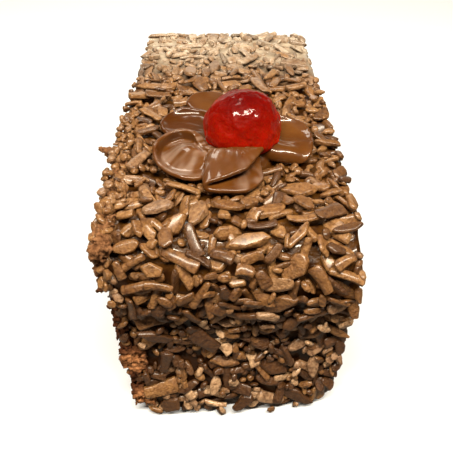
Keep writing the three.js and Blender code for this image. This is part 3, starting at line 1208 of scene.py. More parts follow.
@dataclass
class Coat:
    """The glaze over the front, the top and the back, stuck with flakes.

    A place on it is a distance from the front foot over the top, called run, and one from the middle line.
    """

    form: SliceForm
    fineness: float = 0.8
    pool_depth: float = 0.9
    pool_spread: float = 1.2
    pool_share: float = 0.75
    ripple: float = 0.25
    ripple_size: float = 5.0
    ragged: float = 0.9
    ragged_size: float = 6.0
    rows: int = 29
    columns: int = 8
    stagger: float = 0.25
    scatter: float = 0.9
    overhang: Range = (0.3, 1.0)
    foot_clear: float = 0.4
    shelf: float = 1.15
    wall_run: float = 38.0
    wall_thinning: float = 0.5
    shortness: float = 1.3
    torn_run: Range = (4.0, 108.0)
    torn_fade: float = 8.0
    torn_width: float = 3.6
    torn_length: float = 3.3
    torn_inset: float = 1.2
    torn_tint: Range = (0.55, 1.0)
    torn_shortness: float = 1.5
    torn_outwards: float = 1.4
    granule_run: Range = (42.0, 108.0)
    rim_power: int = 8
    bare_spots: Spots = ((19.5, -24.0, 4.6), (7.0, -22.5, 4.2))
    corner_clear: float = 3.5
    corner_height: float = 16.0
    wall_top: Range = (34.0, 50.0)
    # Painted shade: within this band of tints, flakes on the walls are pushed to the dark end.
    wall_painted_shade: Range = (0.7, 1.0)
    wall_shade: float = 0.45
    wall_shade_size: float = 11.0
    # Painted highlight: lucky flakes on the walls are lifted to the last, brightest stop as glints; the rest
    # keep below plain_tint.
    plain_tint: float = 0.8
    painted_glint_luck: Range = (0.82, 0.97)
    # Painted glare: towards the back of the top, flakes and glaze are painted pale as a highlight, and the
    # glaze rises there.
    painted_glare_side: Range = (8.0, 45.0)
    painted_glare_range: Range = (0.4, 1.0)
    painted_glare_rise: float = 1.4
    bed: FlakeBed = field(init=False)
    sorts: Sequence[FlakeSort] = (
        FlakeSort(
            "flakes_large", 0, length=(6.0, 10.5), width=(2.9, 4.8), thickness=(1.3, 1.9),
            kinds=(Kind.CHIP, Kind.CHIP, Kind.ROD), templates=24, seed=11, rounding=2,
        ),
        FlakeSort(
            "flakes_medium", 1700, length=(3.8, 8.4), width=(1.8, 3.3), thickness=(1.1, 1.8),
            kinds=(Kind.CHIP, Kind.ROD, Kind.CHIP), templates=30, seed=12, lean=0.3,
        ),
        FlakeSort(
            "flakes_edge", 560, length=(3.6, 7.6), width=(2.0, 3.4), thickness=(1.1, 1.7),
            kinds=(Kind.CHIP, Kind.CHIP, Kind.ROD), templates=18, seed=14, lean=0.2, band=(38.0, 64.0),
        ),
        FlakeSort(
            "flakes_torn", 230, length=(1.6, 4.0), width=(1.2, 2.4), thickness=(0.9, 1.6),
            kinds=(Kind.CHIP, Kind.CHIP, Kind.GRANULE), templates=18, seed=15, lean=0.5,
        ),
        FlakeSort(
            "flakes_small", 2000, length=(1.6, 3.8), width=(1.1, 2.2), thickness=(0.8, 1.5),
            kinds=(Kind.GRANULE, Kind.CHIP, Kind.GRANULE), templates=18, seed=13,
        ),
    )

    def __post_init__(self) -> None:
        """Unrolls the glaze."""
        self.bed = FlakeBed(self.form.run, self.form.width)

    def keep_below(self, flower: bpy.types.Mesh) -> None:
        """Keeps flakes from coming up through the flower."""
        self.bed.cover(*self.form.unrolled(coordinates(flower)))

    def build(self) -> None:
        """Lays all flakes, then pours the glaze round them, and adds the pieces."""
        finish = FlakeFinish().material()
        large, medium, edge, torn, small = self.sorts
        medium_flakes = list(self.strewn(medium))
        half = len(medium_flakes) // 2
        laid = {
            medium.name: self.lay(medium_flakes[:half]),
            large.name: self.lay(self.solid_flakes(large)),
        }
        laid[medium.name] += self.lay(medium_flakes[half:])
        laid[edge.name] = self.lay(self.strewn(edge))
        laid[torn.name] = self.lay(self.torn_granules(torn))
        laid[small.name] = self.lay(self.strewn(small))
        for name, flakes in laid.items():
            piece = add_piece(self.joined(name, flakes), finish, Part.COAT, stands=True)
            piece.modifiers.new("broad_faces", "WEIGHTED_NORMAL")
        add_piece(self.glaze(), GlazeFinish().material(), Part.COAT, stands=True)

    def lay(self, flakes: Iterable[Flake]) -> list[Flake]:
        """Settles flakes one after another and gives those that found room."""
        return [flake for flake in flakes if not self.is_bare(self.fitted(flake)) and self.bed.settle(flake)]

    def fitted(self, flake: Flake) -> Flake:
        """The flake moved in from the cut sides and the feet, and tipped outwards on a wall."""
        ahead = abs(math.sin(flake.heading))
        aside = abs(math.cos(flake.heading))
        half_wide = (flake.length * aside + flake.width * ahead) / 2
        half_long = (flake.length * ahead + flake.width * aside) / 2
        walked = np.interp(min(flake.run, self.form.run - flake.run), self.form.paced, self.form.walked)
        edge = self.form.edge_radius
        on_top = smoothstep(walked, self.form.height - edge, self.form.height + edge)
        reach = self.form.width / 2 + lerp(self.overhang, on_top) - half_wide
        torn = self.torn_run[0] < flake.run < self.torn_run[1] and flake.length > self.torn_length
        left = self.form.width / 2 - self.torn_width - half_wide if torn else reach
        flake.across = float(np.clip(flake.across, -left, reach))
        foot = self.foot_clear + half_long
        back_foot = self.form.run - self.foot_clear - half_long
        flake.run = float(np.clip(flake.run, foot, back_foot))
        _, _, forward, _ = self.form.glaze_axes(np.array([flake.run]), np.array([flake.across]))
        flake.lean = (flake.lean[0] - self.shelf * flake.tint**2 * float(forward[0, 2]), flake.lean[1])
        return flake

    def is_bare(self, flake: Flake) -> bool:
        """Whether a flake would lie on a bare spot or past a rounded foot corner."""
        height = self.form.on_glaze(np.array([flake.run]), np.array([flake.across]))[0, 2]
        to_edge = self.form.width / 2 - abs(flake.across)
        for run, across, reach in self.bare_spots:
            if math.hypot(flake.run - run, flake.across - across) < reach:
                return True
        return to_edge < self.corner_clear * (1.0 - height / self.corner_height)

    def templates(self, sort: FlakeSort) -> list[Template]:
        """The shapes that a sort's flakes are copied from."""
        maker = FlakeMaker(sort.seed, sort.rounding)
        return [maker.make(sort.kinds[number % len(sort.kinds)]) for number in range(sort.templates)]

    def solid_flakes(self, sort: FlakeSort) -> Iterable[Flake]:
        """The flakes that the solid coat has too, at their places and sizes there."""
        templates = self.templates(sort)
        for index in range(self.rows * self.columns):
            row, column = divmod(index, self.columns)
            share = {use: draw(index, use) for use in Use}
            stagger = self.stagger if row % 2 else -self.stagger
            walked = (row + 0.5 + self.scatter * (share[Use.ALONG] - 0.5)) / self.rows * self.form.block_run
            across = (column + 0.5 + stagger + self.scatter * (share[Use.ACROSS] - 0.5)) / self.columns - 0.5
            yield Flake(
                templates[index % sort.templates],
                float(np.interp(walked, self.form.walked, self.form.paced)),
                across * self.form.width,
                2 * math.pi * share[Use.HEADING],
                *sort.sizes(share[Use.LENGTH], share[Use.WIDTH], share[Use.THICKNESS]),
                share[Use.TINT],
                share[Use.LUCK],
            )

    def strewn(self, sort: FlakeSort) -> Iterable[Flake]:
        """Flakes that fall in their band or its like at the back, mostly into the lowest spot of a few."""
        rng = np.random.default_rng(sort.seed)
        templates = self.templates(sort)
        band = sort.band or (0.0, self.form.run)
        low = (band[0], -self.form.width / 2)
        high = (band[1], self.form.width / 2)
        for index in range(sort.count):
            places = rng.uniform(low, high, (sort.choices, 2))
            if index % 2:
                places[:, 0] = self.form.run - places[:, 0]
            run, across = self.bed.low_spot(places)
            long, wide, thick, tint, luck = rng.uniform(0.0, 1.0, 5)
            on_wall = min(run, self.form.run - run) < self.wall_run
            if on_wall and (tint + luck) / 2 < self.wall_thinning:
                continue
            yield Flake(
                templates[index % sort.templates],
                float(run),
                float(across),
                rng.uniform(0.0, 2 * math.pi),
                *sort.sizes(long**self.shortness, wide, thick),
                tint,
                luck,
                tuple(rng.normal(0.0, sort.lean, 2)),
            )

    def torn_granules(self, sort: FlakeSort) -> Iterable[Flake]:
        """Granules along the left cut side, where larger flakes have come off with the knife."""
        rng = np.random.default_rng(sort.seed)
        templates = self.templates(sort)
        for index in range(sort.count):
            along, across, turn, long, wide, thick, tint, luck = rng.uniform(0.0, 1.0, 8)
            yield Flake(
                templates[index % sort.templates],
                lerp(self.granule_run, along),
                across**self.torn_outwards * self.torn_width - self.form.width / 2,
                2 * math.pi * turn,
                *sort.sizes(long**self.torn_shortness, wide, thick),
                lerp(self.torn_tint, tint),
                luck,
                tuple(rng.normal(0.0, sort.lean, 2)),
            )

    def joined(self, name: str, flakes: Sequence[Flake]) -> bpy.types.Mesh:
        """One mesh of all flakes of a sort, in their places."""
        joined = JoinedMesh(name)
        run = np.array([flake.run for flake in flakes])
        across = np.array([flake.across for flake in flakes])
        heading = np.array([flake.heading for flake in flakes])[:, None]
        slope = np.array([flake.slope for flake in flakes])
        height = np.array([flake.height for flake in flakes])[:, None]
        foot, side, forward, normal = self.form.glaze_axes(run, across)
        up = unit(normal - slope[:, :1] * forward - slope[:, 1:] * side)
        along = np.cos(heading) * side + np.sin(heading) * forward
        along = unit(along - up * np.sum(along * up, axis=1, keepdims=True))
        sideways = np.cross(up, along)
        foot = foot + normal * height
        wall = 1.0 - smoothstep(foot[:, 2], *self.wall_top)
        # How much painted glare, a pale highlight, each flake's place gets.
        pale = self.painted_glare_share(foot)
        shade = wall * self.wall_shade * solid_noise(foot, self.wall_shade_size)
        for index, flake in enumerate(flakes):
            axes = np.stack([along[index], sideways[index], up[index]])
            sized = flake.template.points * [flake.length, flake.width, flake.thickness]
            points = above_floor(sized @ axes + foot[index])
            # Painted glare towards the back of the top, stronger on lucky flakes.
            painted_glare = lerp(self.painted_glare_range, flake.luck) * float(pale[index])
            tint = float(np.clip(flake.tint + shade[index], 0.0, 1.0))
            # Painted shade: flakes on the walls pushed to the dark end of their tints.
            tint = lerp((tint, float(smoothstep(tint, *self.wall_painted_shade))), float(wall[index]))
            # Painted highlight: lucky flakes on the walls lifted to the brightest colour as glints.
            painted_glint = float(wall[index] * smoothstep(flake.luck, *self.painted_glint_luck))
            joined.add(flake.template, points, lerp((tint * self.plain_tint, 1.0), painted_glint), painted_glare)
        return joined.mesh()

    def glaze(self) -> bpy.types.Mesh:
        """The glaze itself, risen round the flakes, as a skin of its real thickness."""
        pools = self.bed.pooled(self.pool_depth, self.pool_spread) * self.pool_share
        counts = round(self.form.run / self.fineness), round(self.form.width / self.fineness)
        bm = bmesh.new()
        bmesh.ops.create_grid(bm, x_segments=counts[0], y_segments=counts[1], size=1.0)
        skin = raised(bm, bm.faces[:])
        bm.verts.index_update()
        outer = np.zeros(len(bm.verts), bool)
        outer[[vert.index for vert in skin]] = True
        plan = vert_points(bm.verts)
        run = (plan[:, 0] + 1.0) / 2 * self.form.run
        across = plan[:, 1] * self.form.width / 2
        flat = np.column_stack([run, across, np.zeros_like(run)])
        at_rim = plan[:, 1] ** self.rim_power
        across = across + at_rim * self.ragged * solid_noise(flat, self.ragged_size)
        torn = 1.0 - smoothstep(run, self.torn_run[1] - self.torn_fade, self.torn_run[1])
        across = across + np.where(plan[:, 1] < 0, at_rim, 0.0) * torn * self.torn_inset
        points, _, _, normal = self.form.glaze_axes(run, across)
        row, column = self.bed.cells(run, across)
        rise = pools[row, column] + self.ripple * solid_noise(points, self.ripple_size)
        # The glaze rises where the painted glare is, sinking the flakes there.
        rise += self.painted_glare_rise * self.painted_glare_share(points)
        rise = np.where(outer, np.maximum(rise, 0.0), -self.form.coat)
        move(bm.verts, above_floor(points + normal * rise[:, None]))
        mesh = finished_mesh(bm, "glaze")
        points = coordinates(mesh)
        # Painted glare on the glaze.
        store(mesh, "painted_glare", self.painted_glare_share(points))
        # Painted shade: the share of amber glaze falls to nothing down the walls.
        store(mesh, "amber_on_top", smoothstep(points[:, 2], *self.wall_top))
        return mesh

    def painted_glare_share(self, points: Array) -> Array:
        """How much painted glare points have, which is all towards the back of the top."""
        return smoothstep(points[:, 1], *self.painted_glare_side) * smoothstep(points[:, 2], *self.wall_top)


# The sponge


@dataclass(frozen=True)
class CrumbCluster:
    """Crumbs heaped at one place: where, how far they spread each way, how many and how large."""

    place: Place
    spread: Place
    count: int
    size: Range


@dataclass
class Sponge:
    """The sponge, torn where it was cut.

    Its loose crumbs lie within shares of its length, from the middle, and of its height, from the floor.
    """

    form: SliceForm
    fineness: float = 0.55
    tear: float = 0.75
    tear_size: float = 5.0
    clump: float = 0.55
    clump_size: float = 1.5
    pore: float = 1.3
    pore_size: float = 3.2
    pore_reach: float = 0.42
    pore_wall: float = 0.3
    relief_range: Range = (-2.4, 1.2)
    crumbs: int = 420
    crumb_size: Range = (0.5, 1.7)
    crumb_along: Range = (-0.49, 0.49)
    crumb_up: Range = (0.02, 1.0)
    crumb_shapes: int = 8
    crumb_fineness: int = 2
    crumb_girth: Range = (0.65, 1.0)
    crumb_rough: Range = (0.74, 1.14)
    crumb_smallness: float = 2.0
    clusters: Sequence[CrumbCluster] = (
        CrumbCluster((-25.3, -34.0, 53.3), (1.8, 28.0, 1.4), 1500, (0.6, 2.1)),
        CrumbCluster((-26.0, -42.0, 50.6), (1.2, 13.0, 2.0), 420, (0.6, 1.9)),
        CrumbCluster((-25.4, -57.6, 46.0), (1.6, 3.5, 4.5), 320, (0.6, 1.9)),
        CrumbCluster((-28.4, -22.0, 51.6), (1.0, 2.2, 1.2), 90, (1.0, 2.0)),
        CrumbCluster((-30.0, -21.4, 52.2), (0.9, 1.0, 0.8), 50, (0.9, 1.7)),
        CrumbCluster((-31.4, -21.0, 52.7), (0.8, 0.5, 0.4), 26, (0.8, 1.3)),
        CrumbCluster((-32.4, -20.8, 53.0), (0.5, 0.2, 0.2), 10, (0.7, 1.0)),
        CrumbCluster((-23.6, -60.4, 30.0), (1.3, 1.3, 12.0), 560, (0.6, 1.7)),
        CrumbCluster((-22.0, -61.0, 19.6), (3.0, 1.1, 3.4), 300, (0.6, 1.5)),
        CrumbCluster((-20.4, -63.0, 7.2), (2.8, 1.1, 3.0), 260, (0.6, 1.5)),
        CrumbCluster((-21.8, -61.4, 12.5), (1.4, 1.1, 8.0), 260, (0.6, 1.5)),
        CrumbCluster((27.8, -48.0, 50.6), (0.6, 3.0, 1.2), 40, (0.6, 1.4)),
    )
    voxel: float = 0.28
    roughness: float = 0.45
    roughness_size: float = 0.65
    pit: float = 0.65
    pit_size: float = 1.2
    pit_reach: float = 0.45
    # Painted shade on the clumps below this height, outside two brighter spots.
    painted_shade_top: Range = (40.0, 50.0)
    brighter_spots: Spots = ((-22.0, 19.6, 4.4), (-20.4, 7.2, 4.0))
    speck: int = 260
    seed: int = 31

    def build(self) -> None:
        """Adds the sponge, its loose crumbs and the clumps where the coat is torn off."""
        finish = SpongeFinish().material()
        rng = np.random.default_rng(self.seed)
        templates = [self.crumb(rng) for _ in range(self.crumb_shapes)]
        add_piece(self.body(), finish, Part.SPONGE, stands=True)
        add_piece(self.loose_crumbs(rng, templates), finish, Part.SPONGE, stands=False)
        add_piece(self.clumps(rng, templates), finish, Part.SPONGE, stands=False)

    def body(self) -> bpy.types.Mesh:
        """Two torn sides, joined round their rims."""
        depth, height = self.form.sponge_depth, self.form.sponge_height
        counts = round(depth / self.fineness), round(height / self.fineness)
        bm = bmesh.new()
        for side in (-1.0, 1.0):
            made = bmesh.ops.create_grid(bm, x_segments=counts[0], y_segments=counts[1], size=1.0)["verts"]
            plan = vert_points(made)
            x = np.full(len(plan), side * self.form.width / 2)
            block = np.column_stack([x, plan[:, 0] * depth / 2, (plan[:, 1] + 1) / 2 * height])
            points = self.form.shape(block, self.form.inset)
            points[:, 0] += side * self.relief(points)
            move(made, points)
        rim = [edge for edge in bm.edges if edge.is_boundary]
        bmesh.ops.bridge_loops(bm, edges=rim)
        return finished_mesh(bm, "torn_sponge")

    def relief(self, points: Array) -> Array:
        """How far the torn surface stands out at points of a cut side."""
        torn = self.tear * solid_noise(points, self.tear_size)
        clumps = self.clump * solid_noise(points, self.clump_size, octaves=4)
        pores = self.pore * self.pores(points, self.pore_size, self.pore_reach)
        return np.clip(torn + clumps - pores, *self.relief_range)

    def pores(self, points: Array, size: float, reach: float) -> Array:
        """How far points lie in the pores of a foam.

        Args:
            points: places, in millimetres.
            size: how far apart the pores lie.
            reach: how wide they are, as a share of that.

        Returns:
            One number for each place, from 0 between pores to 1 in them.
        """
        return smoothstep(reach - cell_noise(points, size), 0.0, self.pore_wall)

    def loose_crumbs(self, rng: np.random.Generator, templates: Sequence[Template]) -> bpy.types.Mesh:
        """Crumbs that cling to the cut sides."""
        joined = JoinedMesh("crumbs")
        for index in range(self.crumbs):
            x = rng.choice((-1.0, 1.0)) * self.form.width / 2
            y = rng.uniform(*self.crumb_along) * self.form.sponge_depth
            z = rng.uniform(*self.crumb_up) * self.form.sponge_height
            place = self.form.shape(np.array([[x, y, z]]), self.form.inset)[0]
            self.add_crumb(joined, rng, templates[index % len(templates)], place, self.crumb_size)
        return joined.mesh()

    def clumps(self, rng: np.random.Generator, templates: Sequence[Template]) -> bpy.types.Mesh:
        """The clusters' crumbs, stuck together into a porous mass."""
        joined = JoinedMesh("crumb_clumps")
        for cluster in self.clusters:
            for index in range(cluster.count):
                place = np.array(cluster.place) + rng.uniform(-1.0, 1.0, 3) * cluster.spread
                self.add_crumb(joined, rng, templates[index % len(templates)], place, cluster.size)
        mesh = without_specks(fused(joined.mesh(), self.voxel, smoothing=1), self.speck)
        points = coordinates(mesh)
        rough = self.roughness * solid_noise(points, self.roughness_size)
        rough -= self.pit * self.pores(points, self.pit_size, self.pit_reach)
        points = above_floor(points + outward(mesh) * rough[:, None])
        set_coordinates(mesh, points)
        # Two brighter spots, and painted shade on the clumps below a height outside them.
        brighter_spot = near_spots(points[:, [0, 2]], self.brighter_spots)
        store(mesh, "brighter_spot", brighter_spot)
        store(mesh, "painted_shade_low", (1.0 - smoothstep(points[:, 2], *self.painted_shade_top)) * (1.0 - brighter_spot))
        return mesh

    def crumb(self, rng: np.random.Generator) -> Template:
        """A rough lump about a millimetre across."""
        bm = bmesh.new()
        bmesh.ops.create_icosphere(bm, subdivisions=self.crumb_fineness, radius=0.5)
        points = vert_points(bm.verts) * rng.uniform(*self.crumb_girth, 3)
        move(bm.verts, points * rng.uniform(*self.crumb_rough, (len(points), 1)))
        return Template.from_bmesh(bm)

    def add_crumb(
        self, joined: JoinedMesh, rng: np.random.Generator, template: Template, place: Array, sizes: Range
    ) -> None:
        """Puts one crumb where it clings, mostly a small one of its range of sizes."""
        size = lerp(sizes, rng.uniform() ** self.crumb_smallness)
        joined.add(template, above_floor(template.points * size + place), rng.uniform())


# The flower


def paces(distance: Array) -> tuple[Array, Array]:
    """The middles of even paces towards each distance, and how long its paces are."""
    steps = 24
    return distance[:, None] * (np.arange(steps) + 0.5) / steps, distance / steps


@dataclass(frozen=True)
class Petal:
    """A piece of piped chocolate that runs out from the flower's middle, in a direction in degrees."""

    turn: float

    def middle(self, side: Array, reach: Array) -> Array:
        """Points of the petal's middle surface, before it is turned to its direction.

        Args:
            side: from -1 at its right to 1 at its left.
            reach: from 0 at its root to 1 at its tip.

        Returns:
            Rows of the places out along it, to its left and up.
        """
        raise NotImplementedError

    def faces(self, side: Array, reach: Array) -> Array:
        """The way through the petal at points of its middle surface."""
        step = 0.01
        sideways = self.middle(side + step, reach) - self.middle(side - step, reach)
        forward = self.middle(side, reach + step) - self.middle(side, reach - step)
        return unit(np.cross(forward, sideways))


@dataclass(frozen=True)
class Sides:
    """A value for each way out from a lobe's middle."""

    root: float
    tip: float
    left: float
    right: float

    def towards(self, along: Array, aside: Array) -> Array:
        """The value in directions with these parts along the lobe and to its left."""
        lengthwise = np.where(along > 0, self.tip, self.root) * along**2
        return lengthwise + np.where(aside > 0, self.left, self.right) * aside**2


@dataclass(frozen=True)
class Lobe(Petal):
    """A rounded petal with a floor in the middle and a rim that folds up or rolls over."""

    distance: float
    lift: float
    tilt: float
    reach: Sides
    rim: Sides
    dome: float = 0.0
    floor: float = 0.42
    bend: float = 1.0
    corner: float = 0.92
    dome_reach: float = 0.6

    def middle(self, side: Array, reach: Array) -> Array:
        """Points of the middle surface, which is a square sheet drawn to a round outline."""
        across = self.corner * side
        out = self.corner * (2.0 * reach - 1.0)
        along = out * np.sqrt(1.0 - across**2 / 2)
        aside = across * np.sqrt(1.0 - out**2 / 2)
        share = np.maximum(np.hypot(along, aside), TINY)
        along = along / share
        aside = aside / share
        whole = self.reach.towards(along, aside)
        walked, step = paces(share)
        steepest = np.radians(self.rim.towards(along, aside))
        slope = steepest[:, None] * smoothstep(walked, self.floor, self.bend)
        gone = np.cos(slope).sum(axis=1) * step * whole
        up = np.sin(slope).sum(axis=1) * step * whole
        up = up + self.dome * (1.0 - smoothstep(share, 0.0, self.dome_reach))
        up = up + gone * along * math.tan(math.radians(self.tilt))
        return np.column_stack([self.distance + gone * along, gone * aside, self.lift + up])


@dataclass(frozen=True)
class Fold:
    """Half of a ribbon: flat at first, folded up within its bend, then straight on as a leaf."""

    flat: float
    bend: float
    fold: float
    leaf: Range

    def along(self, distance: Array) -> tuple[Array, Array]:
        """How far the half has gone sideways and up at distances from the ribbon's middle line."""
        walked, step = paces(distance)
        slope = math.radians(self.fold) * smoothstep(walked, self.flat, self.flat + self.bend)
        return np.cos(slope).sum(axis=1) * step, np.sin(slope).sum(axis=1) * step


@dataclass(frozen=True)
class Ribbon(Petal):
    """A petal folded over along its length."""

    start: float
    length: float
    root: float
    lift: float
    rise: float
    tip_curl: float
    left: Fold
    right: Fold
    full: float = 0.65
    tip_round: float = 0.4

    def middle(self, side: Array, reach: Array) -> Array:
        """Points of the middle surface."""
        out = reach * (1.0 - self.tip_round * np.abs(side) ** 3)
        fullness = lerp((self.root, 1.0), smoothstep(out, 0.0, self.full))
        aside = np.zeros_like(side)
        up = np.zeros_like(side)
        for half, chosen in ((self.left, side > 0), (self.right, side <= 0)):
            width = half.flat + half.bend + lerp(half.leaf, out)
            gone = half.along(np.abs(side) * width)
            aside = np.where(chosen, gone[0], aside)
            up = np.where(chosen, gone[1], up)
        slope = np.radians(self.rise + self.tip_curl * out**2)
        return np.column_stack([
            self.start + self.length * out * np.cos(slope) - up * fullness * np.sin(slope),
            np.sign(side) * aside * fullness,
            self.lift + self.length * out * np.sin(slope) + up * fullness * np.cos(slope),
        ])


@dataclass
class Flower:
    """Six piped petals round a core."""

    form: SliceForm
    x: float = 2.0
    y: float = -24.0
    thickness: float = 1.7
    rim: float = 0.9
    root: float = 2.2
    root_run: float = 0.5
    rim_power: float = 4.0
    core: Place = (11.0, 11.0, 5.6)
    core_counts: tuple[int, int] = (32, 16)
    counts: tuple[int, int] = (40, 24)
    voxel: float = 0.3
    smoothing: int = 4
    wrinkle: float = 0.11
    wrinkle_size: float = 1.3
    wrinkle_ring: float = 9.0
    wrinkle_drawn: float = 0.22
    # Painted shade on the back left petal: its direction in degrees, how wide and how far out.
    petal_shade_turn: float = 150.0
    petal_shade_width: Range = (16.0, 34.0)
    petal_shade_out: Range = (6.0, 10.0)
    # Painted sheen on two petals: where, on which facing, how streaky and how strong.
    petal_sheen_spots: Spots = ((-11.5, -8.5, 10.0), (6.0, -18.0, 7.0))
    petal_sheen_level: Range = (0.5, 0.85)
    petal_sheen_streak: Range = (-0.4, 0.45)
    petal_sheen_strength: float = 0.55
    petals: Sequence[Petal] = (
        Lobe(
            217, distance=13.2, lift=3.0, tilt=-6, reach=Sides(6.5, 9.6, 10, 13), rim=Sides(90, 50, 10, 104),
            dome=2.5, floor=0.55, bend=0.75,
        ),
        Ribbon(
            268, start=8.7, length=12.6, root=0.9, lift=4, rise=-8, tip_curl=3,
            left=Fold(5, 2, -14, (0, 0)), right=Fold(4.5, 3.8, 174, (12.6, 4.6)),
        ),
        Lobe(
            356, distance=11.8, lift=4.2, tilt=-9, reach=Sides(8, 8.4, 10, 8.8), rim=Sides(0, 45, 72, -120),
            dome=-0.8,
        ),
        Lobe(58, distance=7, lift=3, tilt=2, reach=Sides(6, 6, 6, 6), rim=Sides(0, 30, 30, 30)),
        Lobe(112, distance=15.5, lift=3.8, tilt=6, reach=Sides(9, 10.5, 4.8, 6.5), rim=Sides(0, 10, 20, 30)),
        Lobe(152, distance=12.7, lift=3.6, tilt=0, reach=Sides(8, 8.6, 7, 8.4), rim=Sides(0, 60, 14, 90)),
    )

    def build(self) -> bpy.types.Mesh:
        """Adds the flower and gives its mesh."""
        mesh = self.piped()
        add_piece(mesh, PetalFinish().material(), Part.FLOWER, stands=True)
        return mesh

    @property
    def centre(self) -> Array:
        """Where the flower stands on the glaze."""
        y = self.y + self.form.shift[1]
        return np.array([self.x + self.form.shift[0], y, self.form.top(np.array([y]))[0]])

    def petal_points(self, petal: Petal, plan: Array) -> Array:
        """Where the points of a flat slab lie once it is a petal.

        Args:
            petal: the petal.
            plan: rows of the place across from -1 to 1, out from 0 to 1, and through from -1 to 1.

        Returns:
            The points in the flower's own frame.
        """
        side, reach, through = -plan[:, 0], plan[:, 1], plan[:, 2]
        to_rim = np.maximum(np.abs(side), reach) ** self.rim_power
        body = lerp((self.root, self.thickness), smoothstep(reach, 0.0, self.root_run))
        thick = body + (self.rim - body) * to_rim
        offset = petal.faces(side, reach) * (through * thick / 2)[:, None]
        points = petal.middle(side, reach) + offset
        turn = math.radians(petal.turn)
        cos, sin = math.cos(turn), math.sin(turn)
        return points @ np.array([[cos, sin, 0], [-sin, cos, 0], [0, 0, 1]])

    def slabs(self) -> bpy.types.Mesh:
        """The core and all petals, one through another."""
        bm = bmesh.new()
        round_core, up_core = self.core_counts
        core = bmesh.ops.create_uvsphere(bm, u_segments=round_core, v_segments=up_core, radius=1.0)["verts"]
        bmesh.ops.scale(bm, vec=self.core, verts=core)
        across, out = self.counts
        for petal in self.petals:
            sheet = bmesh.ops.create_grid(bm, x_segments=across, y_segments=out, size=1.0)["verts"]
            bmesh.ops.translate(bm, vec=(0.0, 0.0, -1.0), verts=sheet)
            over = raised(bm, list({face for vert in sheet for face in vert.link_faces}))
            bmesh.ops.translate(bm, vec=(0.0, 0.0, 2.0), verts=over)
            slab = [*sheet, *over]
            plan = vert_points(slab)
            plan[:, 1] = (plan[:, 1] + 1.0) / 2
            move(slab, self.petal_points(petal, plan))
        bmesh.ops.translate(bm, vec=self.centre, verts=bm.verts[:])
        return finished_mesh(bm, "piped_flower")

    def piped(self) -> bpy.types.Mesh:
        """The slabs run together as soft chocolate does, and wrinkled along the petals."""
        mesh = fused(self.slabs(), self.voxel, self.smoothing)
        points = coordinates(mesh)
        points += outward(mesh) * (self.wrinkle * self.wrinkles(points))[:, None]
        floor = self.form.top(points[:, 1]) - self.form.gap
        points[:, 2] = np.maximum(points[:, 2], floor)
        set_coordinates(mesh, points)
        # Painted shade on the back left petal.
        store(mesh, "painted_petal_shade", self.petal_shade_share(points))
        # Painted sheen, a streaky greyish reflection, on two petals.
        store(mesh, "painted_petal_sheen", self.petal_sheen_amount(points, outward(mesh)))
        return mesh

    def petal_shade_share(self, points: Array) -> Array:
        """How far points lie on the back left petal, which has painted shade."""
        plan = points[:, :2] - self.centre[:2]
        turn = np.degrees(np.arctan2(plan[:, 1], plan[:, 0])) - self.petal_shade_turn
        aside = np.abs((turn + 180.0) % 360.0 - 180.0)
        out = np.linalg.norm(plan, axis=1)
        return (1.0 - smoothstep(aside, *self.petal_shade_width)) * smoothstep(out, *self.petal_shade_out)

    def petal_sheen_amount(self, points: Array, normals: Array) -> Array:
        """How much streaky painted sheen, a greyish reflection, lies on upward-facing parts of two petals."""
        near = near_spots(points[:, :2] - self.centre[:2], self.petal_sheen_spots)
        level = smoothstep(normals[:, 2], *self.petal_sheen_level)
        return self.petal_sheen_strength * near * level * smoothstep(self.wrinkles(points), *self.petal_sheen_streak)

    def wrinkles(self, points: Array) -> Array:
        """Noise drawn out along the ways that lead from the flower's middle."""
        plan = points[:, :2] - self.centre[:2]
        out = np.linalg.norm(plan, axis=1)
        turn = np.arctan2(plan[:, 1], plan[:, 0])
        ring = self.wrinkle_ring
        drawn = np.column_stack([np.cos(turn) * ring, np.sin(turn) * ring, out * self.wrinkle_drawn])
        return solid_noise(drawn, self.wrinkle_size, octaves=2)


# The cherry


